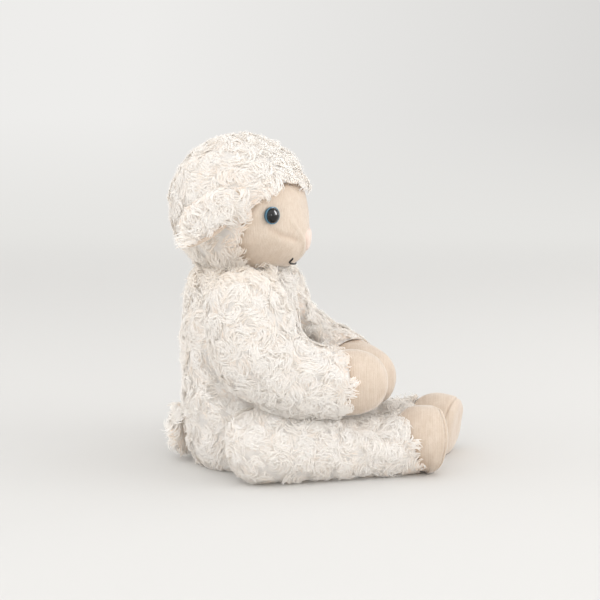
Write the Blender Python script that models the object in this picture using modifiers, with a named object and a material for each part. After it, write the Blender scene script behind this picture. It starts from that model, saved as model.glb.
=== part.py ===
"""A sitting plush lamb, sewn from curly fleece and short velour, softly stuffed.

Metres, +Z up. The lamb faces +X and its right side is at -Y. The origin is on the floor
under the middle of its seat. Every stuffed piece is a swept or warped ball: a round form
whose rings follow a course and swell and taper on the way. A fabric skin is such a form,
open at its sewn edge and given a wall, and the stuffing is the same form, set inside it.
"""
import math

import bmesh
import bpy
import numpy as np
from mathutils import Matrix, Vector

# Fabric and clearances
SEAM_GAP = 0.0003
FILLING_GAP = 0.0017
FILLING_END_SHARE = 1.9
FOLD_GAP = 0.0010
FLEECE_WALL = 0.0028
VELOUR_WALL = 0.0012

# Torso: a pear that sits on its flat seat
TORSO_HEIGHT = 0.1142
TORSO_DEPTH = 0.068
TORSO_WIDTH = 0.084
SEAT_PELLET_HEIGHT = 0.020
NECK_OPENING_RADIUS = 0.009
NECK_X = -0.002
TORSO_END_SHARE = 0.06
TORSO_STEPS = 14
TORSO_SIDES = 24
# Height, centre, half-depth and half-width, each as a share of the torso's own size
TORSO_COURSE_SHARES = (
    (-0.05, -0.01, 0.20, 0.20),
    (0.00, -0.01, 0.34, 0.36),
    (0.10, -0.02, 0.455, 0.47),
    (0.27, -0.02, 0.485, 0.50),
    (0.47, -0.02, 0.495, 0.495),
    (0.66, -0.03, 0.50, 0.465),
    (0.84, -0.025, 0.455, 0.42),
    (0.96, -0.02, 0.39, 0.35),
    (1.05, -0.02, 0.20, 0.20),
)

# Head: a ball with a muzzle, turned on the neck
HEAD_RISE = 0.0375
HEAD_CENTRE_X = -0.002
HOOD_RADIUS = 0.0402
FACE_RADIUS = 0.0383
MUZZLE_RISE = 0.0088
MUZZLE_DROP = math.radians(39)
MUZZLE_HALF_WIDTH_SHARE = 0.50
MUZZLE_HALF_HEIGHT_SHARE = 0.33
JAW_RISE = 0.0024
FACE_TILT = math.radians(29)
FACE_REACH_UP = math.radians(45)
FACE_REACH_SIDE = math.radians(76)
FACE_SIDE_SHARPNESS = 1.5
HEAD_SIDES = 28
HEAD_STEPS = 16

# Nose patch on the muzzle
NOSE_DROP = math.radians(25)
NOSE_REACH = math.radians(14.5)
NOSE_HEIGHT_SHARE = 0.58
NOSE_CORNER_SHARE = 0.14
NOSE_THICKNESS = 0.0011
NOSE_SIDES = 18
NOSE_STEPS = 4

# Mouth thread, as angles round the head's centre
MOUTH_DROP = math.radians(47)
MOUTH_CORNER_LIFT = math.radians(4.5)
MOUTH_HALF_SPAN = math.radians(21)
MOUTH_THREAD_RADIUS = 0.00055
MOUTH_POINTS = 9

# Safety eye: a dome and a shank, held by a washer behind the velour
EYE_TURN = math.radians(55.5)
EYE_DROP = math.radians(5.5)
EYE_RADIUS = 0.005
EYE_DOME_HEIGHT = 0.0034
EYE_SHANK_RADIUS = 0.0015
EYE_SHANK_LENGTH = 0.0072
WASHER_RADIUS = 0.0050
WASHER_THICKNESS = 0.0012
WASHER_SET_BACK = 0.0011
EYE_MEASURE_STEP = math.radians(3)
EYE_SIDES = 16
EYE_DOME_STEPS = 4

# Ear: a hanging leaf of fleece lined with velour
EAR_LENGTH = 0.040
EAR_WIDTH = 0.021
EAR_BOW = 0.0055
EAR_FLEECE_THICKNESS = 0.0040
EAR_LINING_THICKNESS = 0.0016
EAR_SEAT_GAP = 0.0007
EAR_ROOT_AHEAD = 0.0065
EAR_ROOT_RISE = 0.0055
EAR_DROP_ANGLE = math.radians(40)
EAR_OUTWARD_SHARE = 0.13
EAR_ROOT_END_SHARE = 0.12
EAR_TIP_END_SHARE = 0.38
EAR_SIDES = 14
EAR_STEPS = 10
EAR_WIDTH_SHARES = (0.80, 0.93, 1.0, 0.98, 0.82, 0.52)

# Arm: a hanging sleeve that ends in a velour paw
SHOULDER_X = 0.004
SHOULDER_DROP = 0.0152
SHOULDER_HALF_SPAN = 0.035
SHOULDER_FLAT_RADIUS = 0.056
ARM_REACH = 0.080
LAP_GAP = 0.00424
LAP_LEG_SHARE = 0.76
WRIST_SHARE = 0.775
ARM_RADIUS = 0.0240
ARM_OUTSET = 0.0150
LEFT_PAW_INSET = 0.018
LEFT_PAW_DROP = 0.0055
LEFT_PAW_SHIFT_SHARE = 0.78
LEFT_PAW_LONGER = 0.004
FOREARM_FREE_X = 0.038
ARM_CUFF_SHARE = 0.75
ARM_END_SHARE = 0.15
ARM_RING_POWER = 1.4
ARM_SIDES = 16
ARM_STEPS = 9
PAW_STEPS = 5
# Forward, outward and downward as shares of reach, outset and drop, then the radius share
ARM_COURSE_SHARES = (
    (0.03, 0.70, -0.40, 0.82),
    (0.04, 0.88, -0.13, 0.88),
    (0.07, 1.06, 0.24, 0.97),
    (0.16, 1.18, 0.61, 1.01),
    (0.38, 1.12, 0.87, 0.86),
    (0.57, 0.72, 0.955, 0.78),
    (0.78, 0.05, 0.99, 0.775),
    (1.00, -0.50, 1.00, 0.75),
)

# Leg: a sleeve that lies on the floor and ends in a velour foot with a sole
HIP_X = -0.002
LEG_LENGTH = 0.118
LEFT_LEG_LONGER = 0.0105
LEG_RADIUS = 0.0205
LEG_SAG = 0.0005
LEFT_FOOT_SAG = 0.0035
LEG_ROOT_SPREAD = 0.0535
RIGHT_FOOT_SPREAD = 0.018
LEFT_FOOT_SPREAD = 0.024
LEG_CUFF_SHARE = 0.825
LEG_ROOT_END_SHARE = 0.14
LEG_FOOT_END_SHARE = 0.10
LEG_RING_POWER = 1.3
FOOT_RING_POWER = 2
LEG_SIDES = 16
LEG_STEPS = 10
FOOT_STEPS = 6
SOLE_RINGS = 3
SOLE_BLUNTNESS = 3.4
# Forward share of the length, share of the way inward, and the radius share
LEG_COURSE_SHARES = (
    (0.00, 0.00, 0.96),
    (0.09, 0.02, 1.00),
    (0.24, 0.13, 0.985),
    (0.42, 0.33, 0.87),
    (0.61, 0.55, 0.73),
    (0.79, 0.74, 0.765),
    (0.90, 0.87, 0.955),
    (1.00, 1.00, 0.93),
)

# Tail: a short unstuffed flap of fleece
TAIL_LENGTH = 0.027
TAIL_THICKNESS = 0.0105
TAIL_WIDTH = 0.022
TAIL_ROOT_OUTSET = 0.0029
TAIL_ROOT_HEIGHT = 0.0325
TAIL_ROOT_END_SHARE = 0.30
TAIL_TIP_END_SHARE = 0.35
TAIL_SIDES = 14
TAIL_STEPS = 10
# Forward and downward as shares of the length, then thickness and width as shares of theirs
TAIL_COURSE_SHARES = (
    (0.00, 0.00, 0.425, 0.36),
    (-0.10, 0.35, 0.50, 0.475),
    (-0.08, 0.70, 0.50, 0.50),
    (0.06, 1.00, 0.45, 0.45),
)

# Shared by every piece
CUTTER_OVERRUN = 0.004
CYLINDER_SIDES = 24
MERGE_DISTANCE = 0.00001
COURSE_STEP_SHARE = 0.001
EXTRA_FILLING_STEPS = 4
RIGHT, LEFT = -1, 1
SIDE_NAMES = {RIGHT: "right", LEFT: "left"}
NECK_PLANE = TORSO_HEIGHT + SEAM_GAP
HEAD_CENTRE = np.array((HEAD_CENTRE_X, 0.0, NECK_PLANE + HEAD_RISE))
JAW_HEIGHT = NECK_PLANE + JAW_RISE
EAR_ROOT_X = HEAD_CENTRE_X + EAR_ROOT_AHEAD
EAR_ROOT_HEIGHT = NECK_PLANE + HEAD_RISE + EAR_ROOT_RISE
EAR_ROOT_SPREAD = HOOD_RADIUS + EAR_SEAT_GAP
TAIL_ROOT_X = -TORSO_DEPTH / 2 - TAIL_ROOT_OUTSET
SHOULDER_HEIGHT = TORSO_HEIGHT - SHOULDER_DROP
WRIST_HEIGHT = 2 * LAP_LEG_SHARE * LEG_RADIUS + WRIST_SHARE * ARM_RADIUS + LAP_GAP
ARM_DROP = SHOULDER_HEIGHT - WRIST_HEIGHT


# Scene and materials

def clear_scene():
    """Remove every object that the scene holds."""
    for old in list(bpy.data.objects):
        bpy.data.objects.remove(old, do_unlink=True)


def new_collection(name):
    """A collection linked to the scene."""
    group = bpy.data.collections.new(name)
    bpy.context.scene.collection.children.link(group)
    return group


def material(name, colour, roughness, metallic=0.0):
    """A plain Principled material."""
    made = bpy.data.materials.new(name)
    made.use_nodes = True
    shader = made.node_tree.nodes["Principled BSDF"]
    shader.inputs["Base Color"].default_value = (*colour, 1.0)
    shader.inputs["Roughness"].default_value = roughness
    shader.inputs["Metallic"].default_value = metallic
    return made


def add_object(name, mesh, group, look=None, parent=None):
    """An object in its collection, with its material and its parent."""
    made = bpy.data.objects.new(name, mesh)
    group.objects.link(made)
    if look:
        made.data.materials.append(look)
    if parent:
        made.parent = parent
        made.matrix_parent_inverse = parent.matrix_world.inverted()
    return made


def joint_empty(name, place, group, parent=None):
    """An empty on a joint's axis, which carries the pieces that turn there."""
    made = bpy.data.objects.new(name, None)
    group.objects.link(made)
    made.location = place
    if parent:
        made.parent = parent
        made.matrix_parent_inverse = parent.matrix_world.inverted()
    bpy.context.view_layer.update()
    return made


def give_wall(piece, wall):
    """Turn an open skin into fabric with a wall on its inner side."""
    modifier = piece.modifiers.new("wall", 'SOLIDIFY')
    modifier.thickness = wall
    modifier.offset = -1.0


def cut(piece, cutter):
    """Cut one solid out of another."""
    modifier = piece.modifiers.new(cutter.name, 'BOOLEAN')
    modifier.operation = 'DIFFERENCE'
    modifier.solver = 'EXACT'
    modifier.object = cutter


def cylinder_cutter(name, radius, length, matrix, group):
    """A hidden cylinder along its own Z, centred on the matrix."""
    shape = bmesh.new()
    bmesh.ops.create_cone(shape, cap_ends=True, segments=CYLINDER_SIDES,
                          radius1=radius, radius2=radius, depth=length)
    mesh = bpy.data.meshes.new(name)
    shape.to_mesh(mesh)
    shape.free()
    cutter = add_object(name, mesh, group)
    cutter.matrix_world = matrix
    cutter.hide_render = True
    cutter.display_type = 'WIRE'
    return cutter


# Round forms

def unit_ball(sides, steps, keep, half_turn_share=0.5):
    """A ball of radius 1, turned by part of a side, of which keep(height) says what stays."""
    ball = bmesh.new()
    bmesh.ops.create_uvsphere(ball, u_segments=sides, v_segments=steps, radius=1.0)
    turn = Matrix.Rotation(half_turn_share * math.tau / sides, 3, 'Z')
    bmesh.ops.rotate(ball, verts=ball.verts, cent=(0, 0, 0), matrix=turn)
    spare = [face for face in ball.faces if not keep(face.calc_center_median().z)]
    bmesh.ops.delete(ball, geom=spare, context='FACES')
    return ball


def warp(ball, place, name):
    """Move the ball's vertices to where place puts them, and return the mesh."""
    ball.verts.ensure_lookup_table()
    unit = np.array([vertex.co[:] for vertex in ball.verts])
    unit /= np.linalg.norm(unit, axis=1)[:, None]
    for vertex, spot in zip(ball.verts, place(unit)):
        vertex.co = spot
    mesh = bpy.data.meshes.new(name)
    ball.to_mesh(mesh)
    ball.free()
    mesh.shade_smooth()
    return mesh


def keep_beyond(mesh, height, upward):
    """Cut a closed mesh flat at a height and keep the side that upward points to."""
    shape = bmesh.new()
    shape.from_mesh(mesh)
    whole = shape.verts[:] + shape.edges[:] + shape.faces[:]
    bmesh.ops.bisect_plane(shape, geom=whole, plane_co=(0, 0, height),
                           plane_no=(0, 0, upward), clear_inner=True)
    rim = [edge for edge in shape.edges if edge.is_boundary]
    bmesh.ops.contextual_create(shape, geom=rim)
    shape.to_mesh(mesh)
    shape.free()


def smooth_course(table, station):
    """Rows of a table, joined by a Catmull-Rom curve and read at stations from 0 to 1.

    A row's first three values are its place, and the stations run evenly along the course.
    """
    table = np.asarray(table, float)
    last = len(table) - 1
    steps = np.linalg.norm(np.diff(table[:, :3], axis=0), axis=1)
    knots = np.concatenate(((0.0,), np.cumsum(steps))) / steps.sum()
    along = np.interp(np.clip(station, 0.0, 1.0), knots, np.arange(last + 1))
    row = np.minimum(along.astype(int), last - 1)
    part = (along - row)[:, None]
    before, start = table[np.maximum(row - 1, 0)], table[row]
    end, after = table[row + 1], table[np.minimum(row + 2, last)]
    return 0.5 * (2 * start + (end - before) * part
                  + (2 * before - 5 * start + 4 * end - after) * part ** 2
                  + (3 * start - before - 3 * end + after) * part ** 3)


def rounded_end(station, share, bluntness=2.0):
    """The share of the full radius near the end at station 0, round over its first part."""
    inward = np.clip((share - station) / share, 0.0, 1.0)
    return (1.0 - inward ** bluntness) ** (1.0 / bluntness)


def polar_share(unit, pole):
    """How far each point of a unit ball lies from a pole, as a share of a quarter turn."""
    return np.arccos(np.clip(unit[:, 2] * pole, -1.0, 1.0)) / (math.pi / 2)


def swept(course, unit, station, across, inset=0.0):
    """Points round a course whose rows hold x, y, z and two radii.

    The second radius lies along the across direction, and the first is square to it.
    """
    row = smooth_course(course, station)
    ahead = smooth_course(course, np.minimum(station + COURSE_STEP_SHARE, 1.0))
    behind = smooth_course(course, np.maximum(station - COURSE_STEP_SHARE, 0.0))
    forward = ahead[:, :3] - behind[:, :3]
    forward /= np.linalg.norm(forward, axis=1)[:, None]
    side = np.asarray(across) - (forward @ across)[:, None] * forward
    side /= np.linalg.norm(side, axis=1)[:, None]
    upright = np.cross(forward, side)
    turn = np.arctan2(unit[:, 1], unit[:, 0])
    wide = np.maximum(row[:, 3] - inset, 0.0) * np.cos(turn)
    deep = np.maximum(row[:, 4] - inset, 0.0) * np.sin(turn)
    return row[:, :3] + upright * wide[:, None] + side * deep[:, None]


# Torso

def torso_course():
    """The torso's rows: x, y, z, half-depth and half-width."""
    return [(centre * TORSO_DEPTH, 0.0, height * TORSO_HEIGHT,
             depth * TORSO_DEPTH, width * TORSO_WIDTH)
            for height, centre, depth, width in TORSO_COURSE_SHARES]


def flank_limit(spots):
    """How wide the torso may be: flat where the arm turns, and free further out."""
    away = np.hypot(spots[:, 0] - SHOULDER_X, spots[:, 2] - SHOULDER_HEIGHT)
    return SHOULDER_HALF_SPAN + np.maximum(away - SHOULDER_FLAT_RADIUS, 0.0)


def torso_form(inset, low, high):
    """A function that places a unit ball as the torso, between two heights."""
    def place(unit):
        station = (1.0 - unit[:, 2]) / 2
        ends = rounded_end(station, TORSO_END_SHARE)
        ends *= rounded_end(1.0 - station, TORSO_END_SHARE)
        spots = swept(torso_course(), unit, station, (0.0, 1.0, 0.0), inset)
        centre = smooth_course(torso_course(), station)[:, :3]
        spots = centre + (spots - centre) * ends[:, None]
        limit = flank_limit(spots) - inset
        spots[:, 1] = np.clip(spots[:, 1], -limit, limit)
        spots[:, 2] = np.clip(spots[:, 2], low, high)
        return spots
    return place


def make_torso(looks, parts, cutters):
    """The fleece body, the stuffing in it and the bag of pellets that weighs down the seat."""
    ball = unit_ball(TORSO_SIDES, TORSO_STEPS, lambda height: True)
    mesh = warp(ball, torso_form(0.0, 0.0, TORSO_HEIGHT), "torso_fleece")
    skin = add_object("torso_fleece", mesh, parts, looks["fleece"])
    neck = Matrix.Translation((NECK_X, 0.0, TORSO_HEIGHT))
    inner = FLEECE_WALL + FILLING_GAP
    cutter = cylinder_cutter("neck_opening", NECK_OPENING_RADIUS,
                             2 * FLEECE_WALL + CUTTER_OVERRUN, neck, cutters)
    hollow = unit_ball(TORSO_SIDES, TORSO_STEPS, lambda height: True)
    hollow_mesh = warp(hollow, torso_form(FLEECE_WALL, FLEECE_WALL,
                                          TORSO_HEIGHT - FLEECE_WALL), "torso_hollow")
    core = add_object("torso_hollow", hollow_mesh, cutters)
    core.hide_render = True
    core.display_type = 'WIRE'
    cut(skin, core)
    cut(skin, cutter)
    layers = (("seat_pellet_bag", SEAT_PELLET_HEIGHT, -1.0, looks["bag"]),
              ("torso_stuffing", SEAT_PELLET_HEIGHT + SEAM_GAP, 1.0, looks["stuffing"]))
    for name, height, upward, look in layers:
        ball = unit_ball(TORSO_SIDES, TORSO_STEPS, lambda height: True)
        mesh = warp(ball, torso_form(inner, inner, TORSO_HEIGHT - inner), name)
        keep_beyond(mesh, height, upward)
        add_object(name, mesh, parts, look)


# Head

def head_radius(directions, base):
    """The head's radius in each direction: a ball with the muzzle's rise."""
    ahead = np.array((math.cos(MUZZLE_DROP), 0.0, -math.sin(MUZZLE_DROP)))
    upward = np.array((math.sin(MUZZLE_DROP), 0.0, math.cos(MUZZLE_DROP)))
    across = directions[:, 1] / MUZZLE_HALF_WIDTH_SHARE
    above = (directions @ upward) / MUZZLE_HALF_HEIGHT_SHARE
    front = np.clip(directions @ ahead, 0.0, 1.0)
    return base + MUZZLE_RISE * front * np.exp(-(across ** 2 + above ** 2) / 2)


def head_spots(directions, base, lowest):
    """Points of the head's surface, pressed flat below a height."""
    spots = HEAD_CENTRE + directions * head_radius(directions, base)[:, None]
    spots[:, 2] = np.maximum(spots[:, 2], lowest)
    return spots


def face_frame(tilt):
    """The left, upward and forward directions of a head that looks down by a tilt."""
    forward = np.array((math.cos(tilt), 0.0, -math.sin(tilt)))
    upward = np.array((math.sin(tilt), 0.0, math.cos(tilt)))
    return np.array((0.0, 1.0, 0.0)), upward, forward


def face_edge(turn):
    """The angle from the face's middle to its seam: short up and down, wide at the sides."""
    sideways = np.abs(np.cos(turn)) ** FACE_SIDE_SHARPNESS
    return FACE_REACH_UP + (FACE_REACH_SIDE - FACE_REACH_UP) * sideways


def around_face(turn, angle, tilt=FACE_TILT, height_share=1.0):
    """Directions at an angle from the face's middle, turned round it."""
    left, upward, forward = face_frame(tilt)
    ring = np.cos(turn)[:, None] * left + height_share * np.sin(turn)[:, None] * upward
    directions = np.cos(angle)[:, None] * forward + np.sin(angle)[:, None] * ring
    return directions / np.linalg.norm(directions, axis=1)[:, None]


def face_form(unit):
    """The velour face: the part of the head inside the seam."""
    turn = np.arctan2(unit[:, 1], unit[:, 0])
    edge = face_edge(turn) - SEAM_GAP / FACE_RADIUS
    angle = polar_share(unit, 1) * edge
    return head_spots(around_face(turn, angle), FACE_RADIUS, JAW_HEIGHT)


def hood_form(unit):
    """The fleece hood: the rest of the head, behind the seam."""
    turn = np.arctan2(unit[:, 1], unit[:, 0])
    edge = face_edge(turn) + FOLD_GAP / HOOD_RADIUS
    angle = edge + (1.0 - polar_share(unit, -1)) * (math.pi - edge)
    return head_spots(around_face(turn, angle), HOOD_RADIUS, NECK_PLANE)


def stuffing_form(unit):
    """The head's stuffing, inside both fabrics."""
    base = min(HOOD_RADIUS - FLEECE_WALL, FACE_RADIUS - VELOUR_WALL) - FILLING_GAP
    lowest = max(JAW_HEIGHT + VELOUR_WALL, NECK_PLANE + FLEECE_WALL) + FILLING_GAP
    turn = np.arctan2(unit[:, 1], unit[:, 0])
    angle = np.arccos(np.clip(unit[:, 2], -1.0, 1.0))
    return head_spots(around_face(turn, angle), base, lowest)


def nose_form(unit):
    """The nose patch: a low pad with three round corners, on the muzzle's front."""
    turn = np.arctan2(unit[:, 1], unit[:, 0])
    reach = NOSE_REACH * (1.0 + NOSE_CORNER_SHARE * np.cos(3 * (turn + math.pi / 2)))
    angle = polar_share(unit, 1) * reach
    directions = around_face(turn, angle, NOSE_DROP, NOSE_HEIGHT_SHARE)
    return head_spots(directions, FACE_RADIUS + SEAM_GAP + NOSE_THICKNESS, JAW_HEIGHT)


def eye_matrix(side):
    """Where an eye sits on the velour: its Z points out of the face."""
    def spot(turn, drop):
        flat = math.cos(drop)
        way = np.array([(math.cos(turn) * flat, side * math.sin(turn) * flat,
                         -math.sin(drop))])
        return Vector(head_spots(way, FACE_RADIUS, JAW_HEIGHT)[0])
    step = EYE_MEASURE_STEP
    middle = spot(EYE_TURN, EYE_DROP)
    sideways = spot(EYE_TURN + step, EYE_DROP) - spot(EYE_TURN - step, EYE_DROP)
    upward = spot(EYE_TURN, EYE_DROP - step) - spot(EYE_TURN, EYE_DROP + step)
    outward = sideways.cross(upward).normalized() * side
    turned = outward.to_track_quat('Z', 'Y').to_matrix().to_4x4()
    return Matrix.Translation(middle + outward * SEAM_GAP) @ turned


def turned_piece(name, profile, closed, matrix, group, look, parent):
    """A piece turned from a profile of radius and height pairs."""
    mesh = bpy.data.meshes.new(name)
    points = [(radius, 0.0, height) for radius, height in profile]
    edges = [(index, index + 1) for index in range(len(points) - 1)]
    if closed:
        edges.append((len(points) - 1, 0))
    mesh.from_pydata(points, edges, [])
    piece = add_object(name, mesh, group, look)
    modifier = piece.modifiers.new("turn", 'SCREW')
    modifier.steps = modifier.render_steps = EYE_SIDES
    modifier.use_merge_vertices = True
    modifier.merge_threshold = MERGE_DISTANCE
    modifier.use_smooth_shade = True
    piece.matrix_world = matrix
    piece.parent = parent
    piece.matrix_parent_inverse = parent.matrix_world.inverted()
    return piece


def make_eye(side, looks, parts, cutters, head, face, stuffing):
    """A dome on a shank, with the washer that grips it behind the velour."""
    matrix = eye_matrix(side)
    dome = [(EYE_RADIUS * math.sin(quarter), EYE_DOME_HEIGHT * math.cos(quarter))
            for quarter in np.linspace(0.0, math.pi / 2, EYE_DOME_STEPS + 1)]
    shank = [(EYE_SHANK_RADIUS, 0.0), (EYE_SHANK_RADIUS, -EYE_SHANK_LENGTH),
             (0.0, -EYE_SHANK_LENGTH)]
    dome[0] = (0.0, EYE_DOME_HEIGHT)
    dome[-1] = (EYE_RADIUS, 0.0)
    turned_piece(SIDE_NAMES[side] + "_eye", dome + shank, False, matrix, parts,
                 looks["eye"], head)
    top = -(VELOUR_WALL + WASHER_SET_BACK)
    bore = EYE_SHANK_RADIUS + SEAM_GAP
    ring = ((bore, top), (WASHER_RADIUS, top), (WASHER_RADIUS, top - WASHER_THICKNESS),
            (bore, top - WASHER_THICKNESS))
    turned_piece(SIDE_NAMES[side] + "_eye_washer", ring, True, matrix, parts,
                 looks["washer"], head)
    hole = cylinder_cutter(SIDE_NAMES[side] + "_shank_hole", bore,
                           2 * (EYE_SHANK_LENGTH + SEAM_GAP), matrix, cutters)
    cut(face, hole)
    pocket = cylinder_cutter(SIDE_NAMES[side] + "_washer_pocket", WASHER_RADIUS + SEAM_GAP,
                             2 * (EYE_SHANK_LENGTH + SEAM_GAP), matrix, cutters)
    cut(stuffing, pocket)


def make_mouth(looks, parts, head):
    """One smiling stitch of black thread that lies on the muzzle."""
    shares = np.linspace(-1.0, 1.0, MOUTH_POINTS)
    turn = shares * MOUTH_HALF_SPAN
    drop = MOUTH_DROP - MOUTH_CORNER_LIFT * shares ** 2
    ways = np.stack((np.cos(turn) * np.cos(drop), np.sin(turn) * np.cos(drop),
                     -np.sin(drop)), axis=1)
    clear = FACE_RADIUS + SEAM_GAP + MOUTH_THREAD_RADIUS
    curve = bpy.data.curves.new("mouth_stitching", 'CURVE')
    curve.dimensions = '3D'
    curve.bevel_depth = MOUTH_THREAD_RADIUS
    curve.bevel_resolution = 1
    curve.use_fill_caps = True
    line = curve.splines.new('POLY')
    line.points.add(MOUTH_POINTS - 1)
    for point, spot in zip(line.points, head_spots(ways, clear, JAW_HEIGHT)):
        point.co = (*spot, 1.0)
    add_object("mouth_stitching", curve, parts, looks["thread"], head)


def make_head(looks, parts, cutters):
    """The hood, the face and what they hold, all turning together on the neck."""
    head = joint_empty("head_turn_axis", (NECK_X, 0.0, NECK_PLANE), parts)
    upper = unit_ball(HEAD_SIDES, HEAD_STEPS, lambda height: height > 0)
    face = add_object("face_velour", warp(upper, face_form, "face_velour"), parts,
                      looks["velour"], head)
    give_wall(face, VELOUR_WALL)
    lower = unit_ball(HEAD_SIDES, HEAD_STEPS, lambda height: height < 0)
    hood = add_object("head_fleece", warp(lower, hood_form, "head_fleece"), parts,
                      looks["fleece"], head)
    give_wall(hood, FLEECE_WALL)
    neck = Matrix.Translation((NECK_X, 0.0, NECK_PLANE))
    cut(hood, cylinder_cutter("hood_opening", NECK_OPENING_RADIUS,
                              2 * FLEECE_WALL + CUTTER_OVERRUN, neck, cutters))
    whole = unit_ball(HEAD_SIDES, HEAD_STEPS, lambda height: True)
    stuffing = add_object("head_stuffing", warp(whole, stuffing_form, "head_stuffing"),
                          parts, looks["stuffing"], head)
    patch = unit_ball(NOSE_SIDES, 2 * NOSE_STEPS, lambda height: height > 0)
    nose = add_object("nose_velour", warp(patch, nose_form, "nose_velour"), parts,
                      looks["nose"], head)
    give_wall(nose, NOSE_THICKNESS)
    make_mouth(looks, parts, head)
    for side in (RIGHT, LEFT):
        make_eye(side, looks, parts, cutters, head, face, stuffing)
        make_ear(side, looks, parts, head)


# Ears

def ear_course(side):
    """The ear's rows: x, y, z, half-width and half-thickness, from the root to the tip."""
    rows = []
    for index, width in enumerate(EAR_WIDTH_SHARES):
        share = index / (len(EAR_WIDTH_SHARES) - 1)
        along = EAR_LENGTH * share
        bow = EAR_BOW * math.sin(math.pi * share)
        rows.append((EAR_ROOT_X - along * math.cos(EAR_DROP_ANGLE)
                     - bow * math.sin(EAR_DROP_ANGLE),
                     side * (EAR_ROOT_SPREAD + along * EAR_OUTWARD_SHARE),
                     EAR_ROOT_HEIGHT - along * math.sin(EAR_DROP_ANGLE)
                     + bow * math.cos(EAR_DROP_ANGLE),
                     width * EAR_WIDTH / 2, width * EAR_FLEECE_THICKNESS))
    return rows


def ear_form(side, inner):
    """One layer of the ear: the lining lies inside the leaf's middle, the fleece outside."""
    def place(unit):
        station = (1.0 - unit[:, 2]) / 2
        course = np.array(ear_course(side))
        if inner:
            course[:, 4] *= EAR_LINING_THICKNESS / EAR_FLEECE_THICKNESS
        spots = swept(course, unit, station, (0.0, 1.0, 0.0))
        centre = smooth_course(course, station)[:, :3]
        ends = rounded_end(station, EAR_ROOT_END_SHARE)
        ends *= rounded_end(1.0 - station, EAR_TIP_END_SHARE)
        spots = centre + (spots - centre) * ends[:, None]
        outward = side * (spots[:, 1] - centre[:, 1])
        half = SEAM_GAP / 2
        clipped = np.minimum(outward, -half) if inner else np.maximum(outward, half)
        spots[:, 1] = centre[:, 1] + side * clipped
        return spots
    return place


def make_ear(side, looks, parts, head):
    """A fleece leaf and its velour lining, sewn flat on the side of the head."""
    root = (EAR_ROOT_X, side * (EAR_ROOT_SPREAD - EAR_LINING_THICKNESS), EAR_ROOT_HEIGHT)
    hinge = joint_empty(SIDE_NAMES[side] + "_ear_axis", root, parts, head)
    for kind, inner, look in (("fleece", False, "fleece"), ("lining", True, "velour")):
        name = SIDE_NAMES[side] + "_ear_" + kind
        leaf = unit_ball(EAR_SIDES, EAR_STEPS, lambda height: True, 0.0)
        add_object(name, warp(leaf, ear_form(side, inner), name), parts, looks[look], hinge)


# Arms

def arm_course(side):
    """The arm's rows: x, y, z and its radius twice, from the shoulder to the paw."""
    rows = []
    for forward, outward, down, radius in ARM_COURSE_SHARES:
        shifted = min(forward / LEFT_PAW_SHIFT_SHARE, 1.0) if side == LEFT else 0.0
        inset = LEFT_PAW_INSET * shifted ** 1.5
        lower = LEFT_PAW_DROP * shifted ** 8
        spread = SHOULDER_HALF_SPAN + outward * ARM_OUTSET - inset
        rows.append((SHOULDER_X + forward * ARM_REACH + shifted * LEFT_PAW_LONGER,
                     side * spread,
                     SHOULDER_HEIGHT - down * ARM_DROP - lower,
                     radius * ARM_RADIUS, radius * ARM_RADIUS))
    return rows


def arm_spots(side, unit, share, inset, end_inset=0.0):
    """Points of the arm, pressed flat against the torso's side round the shoulder."""
    course = arm_course(side)
    station = end_inset + share * (1.0 - 2 * end_inset)
    spots = swept(course, unit, station, (0.0, 1.0, 0.0), inset)
    centre = smooth_course(course, station)[:, :3]
    ends = rounded_end(share, ARM_END_SHARE) * rounded_end(1.0 - share, ARM_END_SHARE)
    spots = centre + (spots - centre) * ends[:, None]
    away = np.hypot(spots[:, 0] - SHOULDER_X, spots[:, 2] - SHOULDER_HEIGHT)
    free = np.maximum(away - SHOULDER_FLAT_RADIUS - inset, 0.0)
    ahead = np.maximum(spots[:, 0] - FOREARM_FREE_X - inset, 0.0)
    limit = SHOULDER_HALF_SPAN + SEAM_GAP + inset - free - 2 * ahead
    spots[:, 1] = side * np.maximum(side * spots[:, 1], limit)
    return spots


def make_arm(side, looks, parts):
    """A fleece sleeve, its velour paw and the stuffing through both."""
    prefix = SIDE_NAMES[side]
    hinge = joint_empty(prefix + "_shoulder_axis",
                        (SHOULDER_X, side * SHOULDER_HALF_SPAN, SHOULDER_HEIGHT), parts)
    length = float(np.linalg.norm(np.diff(np.array(arm_course(side))[:, :3], axis=0),
                                  axis=1).sum())
    gap = FOLD_GAP / 2 / length

    def sleeve_form(unit):
        station = (ARM_CUFF_SHARE - gap) * polar_share(unit, 1) ** ARM_RING_POWER
        return arm_spots(side, unit, station, 0.0)

    def paw_form(unit):
        station = 1.0 - (1.0 - ARM_CUFF_SHARE - gap) * polar_share(unit, -1) ** ARM_RING_POWER
        return arm_spots(side, unit, station, 0.0)

    def filling_form(unit):
        inset = FLEECE_WALL + FILLING_GAP
        return arm_spots(side, unit, 0.5 * (1.0 - unit[:, 2]), inset,
                         FILLING_END_SHARE * inset / length)

    upper = unit_ball(ARM_SIDES, 2 * ARM_STEPS, lambda height: height > 0)
    sleeve = add_object(prefix + "_arm_fleece", warp(upper, sleeve_form, "sleeve"), parts,
                        looks["fleece"], hinge)
    give_wall(sleeve, FLEECE_WALL)
    lower = unit_ball(ARM_SIDES, 2 * PAW_STEPS, lambda height: height < 0)
    paw = add_object(prefix + "_hand_velour", warp(lower, paw_form, "paw"), parts,
                     looks["velour"], hinge)
    give_wall(paw, VELOUR_WALL)
    whole = unit_ball(ARM_SIDES, ARM_STEPS + EXTRA_FILLING_STEPS, lambda height: True)
    add_object(prefix + "_arm_stuffing", warp(whole, filling_form, "filling"), parts,
               looks["stuffing"], hinge)


# Legs

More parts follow.
